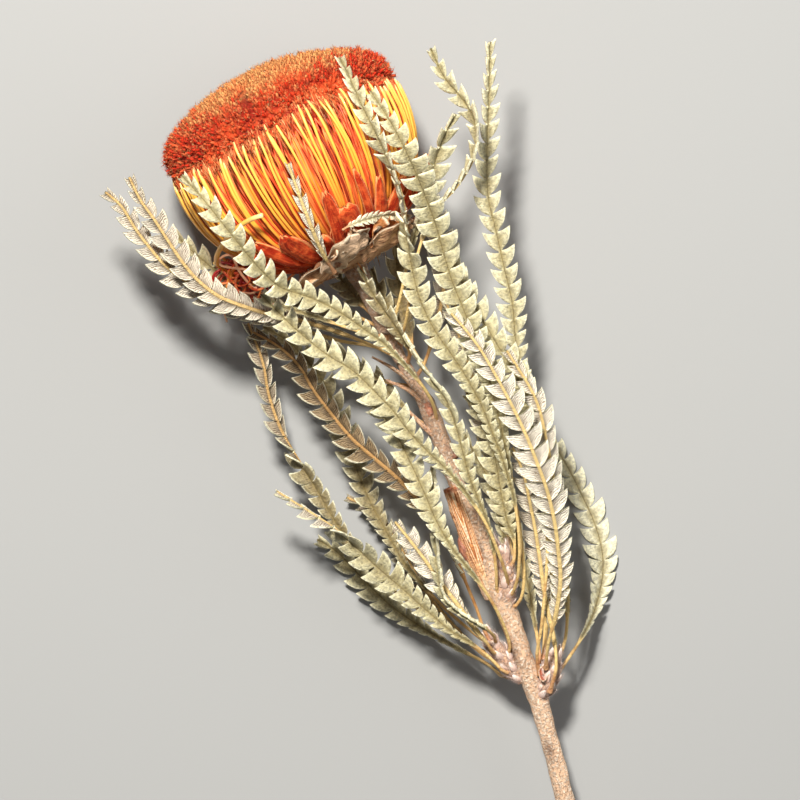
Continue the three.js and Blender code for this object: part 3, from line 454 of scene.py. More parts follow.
def leafFinish():
    # sage above with a dark groove and pale rims, silvery below with a tan rib and hatched side veins
    f = Finish("leafFinish", leafColours, {"Roughness": 0.6, "Specular IOR Level": 0.45})
    rib, hatch, margin, age = f.read("ribShare", "hatch", "margin", "age")
    stalk, under, tone, foot = f.read("stalk", "underside", "tone", "foot")
    # tone above 0 browns the leaf: partly real dryness, partly painted shade; brown tips are real dryness
    tipDry = f.times(f.step(age, 0.9, 1.0, 0.0, 0.55), f.step(tone, 0.05, 0.3))
    dryAndShaded = f.calc("MAXIMUM", f.step(tone, 0.0, 1.0), tipDry)

    # browned by tone: partly real dryness, partly painted shade
    agedAndShaded = f.mix(f.times(dryAndShaded, 0.92), f.mottled("sage", "olive", 260.0, 0.42, 0.72)["Color"], "dryAndShade")
    # tone below 0 turns the leaf cream: partly its own colour, partly painted light
    pale = f.mix(f.step(tone, 0.0, -1.0), agedAndShaded, "creamAndLit")
    # painted shade: darker near the rib, where the lobes fold up
    foldShaded = f.mix(f.step(margin, 0.05, 0.6, 0.7, 0.0), pale, f.mix(dryAndShaded, "inner", "dryAndShade"))
    # painted shade in the groove along the rib
    grooveShaded = f.mix(f.step(rib, 0.1, 1.1, 0.75, 0.0), foldShaded, "groove")
    # pale rims: partly the rolled margin's own colour, partly a painted highlight
    upper = f.mix(f.step(margin, 0.74, 0.96, 0.0, 0.85), grooveShaded, "rim")

    warp = f.group(grain, Scale=420.0)["Mask"]
    crooked = f.calc("MULTIPLY_ADD", warp, 2.2, hatch)
    wave = f.calc("SINE", f.times(crooked, 2 * math.pi / hatchStep))
    line = f.times(f.step(wave, -0.1, 0.8), f.step(warp, 0.36, 0.62, 1.0, 0.45))
    # tone browns the silver and darkens its veins: partly real dryness, partly painted shade
    lineColour = f.mix(dryAndShaded, "hatch", "dryAndShadeHatch")
    lined = f.mix(f.times(line, 0.95), f.mix(dryAndShaded, "silver", "dryAndShadeUnder"), lineColour)
    # painted shade in the hollow beside the rib beneath
    hollowShaded = f.mix(f.step(margin, 0.0, 0.55, 0.65, 0.0), lined, lineColour)
    # pale rims beneath: partly the rolled margin's own colour, partly a painted highlight
    rimmed = f.mix(f.step(margin, 0.82, 0.97, 0.0, 0.7), hollowShaded, "rim")
    # tone browns the rib: partly real dryness, partly painted shade
    ribColour = f.mix(f.times(dryAndShaded, 0.7), "rib", "stalkShade")
    lower = f.mix(f.step(rib, 0.85, 1.15, 1.0, 0.0), rimmed, ribColour)

    grit = f.mottled("rim", "grit", 1300.0, 0.42, 0.62)["Color"]
    blade = f.mix(f.step(under, 0.0, 1.0, 0.7, 0.3), f.mix(under, upper, lower), grit, "MULTIPLY")
    stem = f.mottled("stalk", "stalkShade", 160.0, 0.48, 0.7)["Color"]
    # tone browns the stalk: partly real dryness, partly painted shade
    stalkDryAndShaded = f.mix(f.times(dryAndShaded, 0.7), stem, "stalkShade")
    stalkColour = f.mix(f.step(foot, 0.1, 0.8, 0.0, 0.7), stalkDryAndShaded, "foot")
    depth = f.times(line, f.step(under, 0.0, 1.0, -0.25, -0.9))
    height = f.times(depth, f.step(stalk, 0.0, 0.6, 1.0, 0.0))
    return f.done(f.mix(stalk, blade, stalkColour), height, scale=1300.0, amount=1.9, distance=0.00028)


styleColours = {
    "foot": paint(0.96, 0.42, 0.20),
    "low": paint(0.95, 0.52, 0.22),
    "yellow": paint(0.97, 0.70, 0.25),
    "high": paint(1.0, 0.77, 0.35),
    # painted highlight where each style bends into the wool
    "tip": paint(1.0, 0.88, 0.58),
    "orange": paint(0.95, 0.50, 0.15),
}


def styleFinish():
    # smooth yellow threads, redder at the foot, with a painted highlight in cream at the tip where they bend
    settings = {"Roughness": 0.36, "Specular IOR Level": 0.5, "Coat Weight": 0.15}
    f = Finish("styleFinish", styleColours, settings)
    along, tone = f.read("along", "tone")
    streak = f.streaked(along, f.times(tone, 9.0), 1.5)
    # the last stop is a painted highlight at the bend into the wool
    yellow = f.ramp(along, [(0.0, "foot"), (0.2, "low"), (0.5, "yellow"), (0.93, "high"), (0.985, "tip")])
    base = f.mix(f.step(tone, 0.2, 1.0, 0.0, 0.75), yellow, "orange")
    colour = f.mix(f.step(streak, 0.55, 0.8, 0.0, 0.5), base, "orange")
    return f.done(colour, streak, scale=1800.0, amount=0.3, distance=0.00005)


tubeColours = {
    "red": paint(0.91, 0.32, 0.15),
    "orange": paint(0.99, 0.58, 0.30),
    "dark": paint(0.50, 0.08, 0.04),
    "crimson": paint(0.60, 0.07, 0.04),
    "pink": paint(1.0, 0.83, 0.68),
}


def tubeFinish():
    # satin perianth tubes, orange red with darker and lighter streaks; shed ones go on to crimson and pink
    f = Finish("tubeFinish", tubeColours, {"Roughness": 0.45})
    along, tone = f.read("along", "tone")
    streak = f.streaked(along, f.times(tone, 14.0), 2.5)
    light = f.mix(f.step(streak, 0.4, 0.68), "red", "orange")
    bright = f.mix(f.step(tone, 0.3, 1.0, 0.0, 0.8), light, "orange")
    deep = f.mix(f.step(tone, -0.1, -0.9, 0.0, 0.85), bright, "dark")
    crimson = f.mix(f.step(tone, -1.0, -1.5, 0.0, 0.9), deep, "crimson")
    colour = f.mix(f.step(tone, 1.1, 1.4), crimson, "pink")
    return f.done(colour, streak, scale=2200.0, amount=0.4, distance=0.0001)


woolColours = {
    # dark root colour: painted shade deep in the wool
    "redRootShade": paint(0.33, 0.02, 0.015),
    "redTip": paint(1.0, 0.25, 0.09),
    # dark root colour: painted shade deep in the wool
    "orangeRootShade": paint(0.66, 0.16, 0.05),
    "orangeTip": paint(1.0, 0.81, 0.49),
    # painted highlight on hair tips
    "speck": paint(1.0, 0.86, 0.60),
    "flame": paint(0.98, 0.42, 0.20),
}


def woolFinish():
    # dyed wool, crimson round the edge and orange on the crown; painted shade at each hair's root, lighter to
    # its tip
    f = Finish("woolFinish", woolColours, {"Roughness": 0.7, "Specular IOR Level": 0.25})
    tip, glow, tone = f.read("along", "glow", "tone")
    red = f.mix(f.step(tip, 0.0, 1.0), "redRootShade", "redTip")
    orange = f.mix(f.step(tip, 0.0, 1.0), "orangeRootShade", "orangeTip")
    clumps = f.mottled("redTip", "flame", 130.0, 0.46, 0.66)["Mask"]
    lifted = f.mix(f.times(clumps, 0.45), red, "flame")
    sunk = f.mix(f.times(clumps, 0.35), orange, "flame")
    dyed = f.mix(glow, lifted, sunk)
    # painted highlights: hairs with a high tone take pale specks
    lit = f.mix(f.step(tone, 0.5, 0.95, 0.0, 0.75), dyed, "speck")
    # painted shade: a very low tone, in the cleft and on some random hairs, takes the dark root colour
    colour = f.mix(f.step(tone, -0.55, -1.1, 0.0, 0.85), lit, "redRootShade")
    return f.done(colour, 0.0, scale=2600.0, amount=1.0, distance=0.0002)


bractColours = {
    "rust": paint(0.70, 0.19, 0.09),
    "bright": paint(0.93, 0.42, 0.21),
    "dark": paint(0.36, 0.06, 0.03),
    "edge": paint(0.97, 0.72, 0.45),
    "sheen": paint(1.0, 0.68, 0.50),
}


def bractFinish():
    # velvet: rust red with a soft sheen, painted shade darkening the foot, and paler along the edges
    settings = {"Roughness": 0.9, "Sheen Weight": 0.6, "Sheen Roughness": 0.3, "Specular IOR Level": 0.1}
    settings["Sheen Tint"] = bractColours["sheen"]
    f = Finish("bractFinish", bractColours, settings)
    along, margin, tone = f.read("along", "margin", "tone")
    patch = f.mottled("rust", "bright", 330.0, 0.42, 0.68)["Color"]
    streak = f.streaked(along, f.times(margin, 1.6), 1.0)
    veined = f.mix(f.step(streak, 0.48, 0.72, 0.0, 0.65), patch, "bright")
    blotched = f.mix(f.step(streak, 0.46, 0.3, 0.0, 0.45), veined, "dark")
    # painted shade at the foot of each bract
    shaded = f.mix(f.step(along, 0.32, 0.0, 0.0, 0.8), blotched, "dark")
    edged = f.mix(f.step(margin, 0.84, 1.0, 0.0, 0.7), shaded, "edge")
    colour = f.mix(f.step(tone, 0.75, 1.0, 0.0, 0.7), edged, "edge")
    return f.done(colour, streak, scale=1900.0, amount=1.2, distance=0.0002)


collarColours = {
    "fawn": paint(0.84, 0.66, 0.49),
    "brown": paint(0.50, 0.31, 0.20),
    "edge": paint(1.0, 0.93, 0.80),
    "amber": paint(0.80, 0.48, 0.22),
}


def collarFinish():
    # papery dry bracts: fawn and brown patches, long veins, cream edges
    f = Finish("collarFinish", collarColours, {"Roughness": 0.9, "Specular IOR Level": 0.15})
    along, margin, tone = f.read("along", "margin", "tone")
    patch = f.mottled("fawn", "brown", 210.0, 0.45, 0.68)["Color"]
    streak = f.streaked(along, f.times(margin, 6.0), 0.8)
    veined = f.mix(f.step(streak, 0.47, 0.66, 0.0, 0.75), patch, "brown")
    warm = f.mix(f.step(tone, 0.3, 1.0, 0.0, 0.8), veined, "amber")
    pale = f.mix(f.step(tone, -0.5, -1.0, 0.0, 0.8), warm, "edge")
    colour = f.mix(f.step(margin, 0.8, 1.0, 0.0, 0.85), pale, "edge")
    return f.done(colour, streak, scale=1100.0, amount=1.6, distance=0.0004)


barkColours = {
    "tan": paint(0.90, 0.74, 0.60),
    "pale": paint(0.99, 0.93, 0.84),
    "brown": paint(0.55, 0.38, 0.29),
    "shade": paint(0.42, 0.30, 0.24),
    "red": paint(0.74, 0.32, 0.18),
    "woodDark": paint(0.62, 0.30, 0.15),
    "wood": paint(0.95, 0.66, 0.41),
    "woodPale": paint(1.0, 0.91, 0.76),
}


def barkFinish():
    # young bark: tan with pale specks and brown patches, red at the buds, raw wood where it is broken
    f = Finish("barkFinish", barkColours, {"Roughness": 0.85, "Specular IOR Level": 0.3})
    shade, redness, along, fibre, bare = f.read("shade", "redness", "along", "fibre", "wood")
    patch = f.mottled("tan", "brown", 90.0, 0.58, 0.8)["Color"]
    speck = f.mottled("tan", "pale", 1300.0, 0.46, 0.6)["Mask"]
    pit = f.mottled("tan", "brown", 1700.0, 0.52, 0.64)["Mask"]
    spotted = f.mix(f.times(speck, 0.65), patch, "pale")
    pitted = f.mix(f.times(pit, 0.35), spotted, "brown")
    shaded = f.mix(f.times(shade, 0.8), pitted, "shade")
    reddened = f.mix(f.times(redness, 0.8), shaded, "red")
    stops = [(0.38, "woodDark"), (0.5, "wood"), (0.62, "woodPale")]
    colour = f.mix(bare, reddened, f.ramp(f.streaked(along, fibre, 0.3), stops))
    return f.done(colour, f.calc("SUBTRACT", speck, pit), scale=1400.0, amount=1.2, distance=0.00018)


fluffColours = {
    "root": paint(0.60, 0.42, 0.36),
    "middle": paint(0.84, 0.70, 0.62),
    "tip": paint(0.97, 0.91, 0.86),
    "red": paint(0.55, 0.16, 0.12),
}


def fluffFinish():
    # pale pinkish wool on the young shoots, browner at its roots
    settings = {"Roughness": 0.9, "Sheen Weight": 0.4, "Specular IOR Level": 0.2}
    f = Finish("fluffFinish", fluffColours, settings)
    tip, tone = f.read("along", "tone")
    woolly = f.ramp(tip, [(0.0, "root"), (0.5, "middle"), (1.0, "tip")])
    colour = f.mix(f.step(tone, 0.72, 1.0, 0.0, 0.8), woolly, "red")
    return f.done(colour, 0.0, scale=2600.0, amount=0.8, distance=0.0001)


finishes = {
    "leaf": leafFinish(),
    "style": styleFinish(),
    "tube": tubeFinish(),
    "wool": woolFinish(),
    "bract": bractFinish(),
    "collar": collarFinish(),
    "bark": barkFinish(),
    "fluff": fluffFinish(),
}
print("finishes made")


# Leaves

leafStyle = {
    "pitch": 4.85,  # from one lobe to the next, in mm
    "footPitch": 0.56,  # share of the pitch at the blade's foot
    "tipPitch": 0.8,
    "shift": -0.2,  # the lobes sit this share of a pitch back
    "sharpEdge": [(0.1, 0.06), (0.46, 0.3), (0.8, 0.74), (1.0, 1.24)],
    "roundEdge": [(0.1, 0.03), (0.6, 0.07), (0.99, 0.42), (1.0, 1.22)],
    "upperEdge": [(1.0, 1.22), (0.74, 1.1), (0.42, 1.0), (0.12, 0.99)],
    "lowerSteps": (0, 0.2, 0.4, 0.6, 0.8, 0.93),
    "upperSteps": (0, 0.3, 0.65, 1.0),
    "smallWidths": (0.13, 0.17, 0.22, 0.27, 0.32),  # lobes below the blade, as shares of the half width
    "columns": (1.0, 0.82, 0.52, 0.22, 0.0),  # shares of the way from the rib's edge to the margin
    "fold": 0.26,
    "foldDrift": 0.2,  # the fold opens and closes along the leaf
    "lobeTurn": 0.26,  # each lobe leans its own way
    "dome": 0.42,
    "tilt": 0.62,
    "recurve": 0.5,
    "thick": 0.4,
    "grooveHalf": 0.3,
    "groove": 0.16,
    "ribHalf": 0.56,
    "ribDepth": 0.5,
    "stalkWide": 0.42,
    "stalkDeep": 0.4,
    "leastWidth": 0.85,
    "sharp": 50,  # edges that turn by more degrees than this stay sharp
}


def bladeShare(u):
    # how wide the blade is, as a share of its greatest width, from its foot at 0 to its tip at 1
    return np.minimum(1, 0.38 + 1.9 * u) * np.maximum(0, 1 - np.clip(u, 0, 0.965) ** 4.8) ** 0.52


def lobesOf(halfWidth, path, bladeStart, scale, seed):
    # where the lobes begin along the leaf, closer together at its foot and tip, and how wide each one is
    f = leafStyle
    length = path["length"] - bladeStart
    fine = np.linspace(0, 1, 120)
    local = f["footPitch"] + (1 - f["footPitch"]) * smoothStep(fine / 0.5)
    local = local * (1 - (1 - f["tipPitch"]) * smoothStep((fine - 0.7) / 0.3))
    passed = np.concatenate([[0], np.cumsum(0.5 / local[1:] + 0.5 / local[:-1])]) / (len(fine) - 1)
    lobes = max(5, int(round(length / (f["pitch"] * scale) * passed[-1])))
    bounds = bladeStart + length * np.interp(np.linspace(0, passed[-1], lobes + 1), passed, fine)
    widths = halfWidth * bladeShare((bounds[:-1] + 0.8 * np.diff(bounds) - bladeStart) / length)
    first = bounds[1] - bounds[0]
    lowest = path["length"] * 0.1 + 3
    extra = [k for k in range(len(f["smallWidths"])) if bladeStart - (k + 1) * first > lowest][::-1]
    bounds = np.concatenate([[bladeStart - (k + 1) * first for k in extra], bounds])
    widths = np.concatenate([[halfWidth * f["smallWidths"][-1 - k] for k in extra], widths])
    widths = np.maximum(widths, f["leastWidth"] * scale)
    return bounds, widths * (1 + 0.09 * spread(np.arange(len(widths)) * 1.7 + seed))


def lobeEdge(seed):
    # one lobe's edge, as shares of its width and of its pitch: up its lower side and back along its upper one
    f = leafStyle
    sharp, full = (bezierAt(f[name], f["lowerSteps"]) for name in ("sharpEdge", "roundEdge"))
    lower = sharp + (full - sharp) * (0.5 + 0.5 * chance(seed + 0.5))
    return np.vstack([lower, bezierAt(f["upperEdge"], f["upperSteps"])])


class Leaf:
    # one leaf's measures, as a column with a value for each ring across it, and the rings themselves
    def __init__(self, path, halfWidth, bladeFrom, seed, scale):
        f = leafStyle
        self.seed, self.scale = seed, scale
        bladeStart = path["length"] * bladeFrom
        bounds, self.widths = lobesOf(halfWidth, path, bladeStart, scale, seed)
        self.starts, self.steps = bounds[:-1, None], np.diff(bounds)[:, None]
        self.lobe = np.arange(len(self.widths))
        self.edge = lobeEdge(seed)
        phase = np.linspace(0.02, 0.98, len(self.edge))
        ribS = self.starts + (f["shift"] + phase) * self.steps
        start = ribS[0, 0]
        self.stalkS = np.linspace(0, start, max(4, int(start / 2.2)), endpoint=False)
        self.tipS = path["length"] - 0.08 * self.steps[-1, 0]
        self.s = self.column(ribS, self.stalkS, self.tipS)
        self.phase = self.column(np.tile(phase, len(self.lobe)), tip=0.5)
        self.age = np.clip((self.s - bladeStart) / (path["length"] - bladeStart), 0, 1)
        self.grooveHalf = f["grooveHalf"] * scale * (1 - 0.4 * self.age)
        self.ribHalf = f["ribHalf"] * scale * (1 - 0.45 * self.age)
        self.mix = smoothStep((self.s - start) / 2.5) * self.column(np.ones(ribS.size), tip=1)

    def column(self, lobes, stalk=0.0, tip=0.0):
        # the stalk's rings come first, then the lobes' rings, then one that closes the tip
        return np.concatenate([np.broadcast_to(stalk, len(self.stalkS)), np.ravel(lobes), [tip]])[:, None]

    def half(self, way):
        # one half of the blade, above and beneath, each as grids of out, rise, s and share of the way to the
        # margin; way is -1 for the left half and 1 for the right one
        f, scale, lobe, seed = leafStyle, self.scale, self.lobe, self.seed
        thick, rim = f["thick"] * scale, 0.1 * scale
        share = np.array(f["columns"]) * np.ones_like(self.s)
        slip = 0.05 * spread(lobe * 2.3 + seed * 3 + way) + 0.05 * way
        width = self.widths * (1 + 0.08 * spread(lobe * 3.1 + seed + 5 * way))
        edgeOut = np.maximum(self.column(width[:, None] * self.edge[:, 0]), self.ribHalf + rim)
        edgeS = self.starts + (f["shift"] + self.edge[:, 1] + slip[:, None]) * self.steps
        edgeS = self.column(edgeS, self.stalkS, self.tipS)
        lean = np.repeat(spread(lobe * 5.3 + seed * 2 + way), len(self.edge))
        drift = f["foldDrift"] * np.sin(self.s / 13 + seed * 1.9 + 1.5 * way)
        fold = f["fold"] + (drift + f["lobeTurn"] * self.column(lean))

        def riseAt(out):
            rise = fold * np.maximum(out - self.grooveHalf, 0)
            rise = rise + f["dome"] * scale * np.sin(math.pi * self.phase) * smoothStep(share * 1.6)
            rise = rise + f["tilt"] * scale * (self.phase - 0.5) * share
            return rise - f["recurve"] * scale * share**4

        top = self.grooveHalf + (edgeOut - self.grooveHalf) * share
        under = self.ribHalf + (edgeOut - rim - self.ribHalf) * share
        s = self.s + (edgeS - self.s) * share
        keep = [0, 2, 3, 4]
        beneath = [grid[:, keep] for grid in (under, riseAt(under) - thick, s, share)]
        return (top, riseAt(top), s, share), beneath

    def rings(self):
        # each ring crosses the leaf, over the top from left to right margin and back beneath, round the rib
        f, scale = leafStyle, self.scale
        none = np.zeros_like(self.s)
        thick = f["thick"] * scale
        deep = f["ribDepth"] * scale * (self.ribHalf / (f["ribHalf"] * scale)) ** 0.7
        ribTop = (none, none - f["groove"] * scale, self.s, none)
        ribUnder = [
            (self.ribHalf * at, -thick - deep * drop, self.s, none)
            for at, drop in ((0.66, 0.8), (0, 1), (-0.66, 0.8))
        ]
        leftTop, leftUnder = self.half(-1)
        rightTop, rightUnder = self.half(1)
        grids = []
        for k, sign in enumerate((-1, 1, 1, 1)):
            across = [sign * leftTop[k], ribTop[k], rightTop[k][:, ::-1]]
            back = [rightUnder[k], *(column[k] for column in ribUnder), sign * leftUnder[k][:, ::-1]]
            grids.append(np.hstack(across + back))
        out, rise, s, share = grids
        return *self.withStalk(out, rise), s, share

    def withStalk(self, out, rise):
        # the stalk's round section, blended into the blade's
        f, scale, mix = leafStyle, self.scale, self.mix
        topAngle = math.pi * (1 - np.arange(11) / 10)
        underAngle = -math.pi * (np.arange(11) + 0.6) / 11.2
        angle = np.concatenate([topAngle, underAngle])[None, :]
        foot = scale * (1 + 0.9 * np.exp(-self.s / 1.8))
        out = out * mix + f["stalkWide"] * foot * np.cos(angle) * (1 - mix)
        return out, rise * mix + (f["stalkDeep"] * foot * np.sin(angle) - 0.25 * scale) * (1 - mix)


def leafShape(halfWidth, bladeFrom, route, seed, tone, scale=1.0, footLong=5):
    # a stalk that widens into a ribbed blade cut nearly to the rib. A point's place is
    # centre(s) + side * out + face * rise.
    path = layPath(route)
    leaf = Leaf(path, halfWidth, bladeFrom, seed, scale)
    out, rise, s, share = leaf.rings()
    centre, roll, _, right, up = pathFrames(path, s)
    turn = np.radians(roll[..., 0])
    points = centre + circle(right, up, turn) * out[..., None] + circle(up, -right, turn) * rise[..., None]
    corner = np.arange(out.shape[1])
    beneath = corner > 10
    values = {
        "ribShare": np.minimum(np.abs(out) / np.where(beneath, leaf.ribHalf, leaf.grooveHalf), 4),
        "hatch": s - 0.45 * np.abs(out),
        "margin": share * leaf.mix,
        "stalk": 1 - leaf.mix,
        "foot": np.exp(-leaf.s / footLong),
        "tone": tone,
        "age": leaf.age * leaf.mix,
    }
    return sweep(points, values, {"underside": beneath & (corner < corner[-1])})
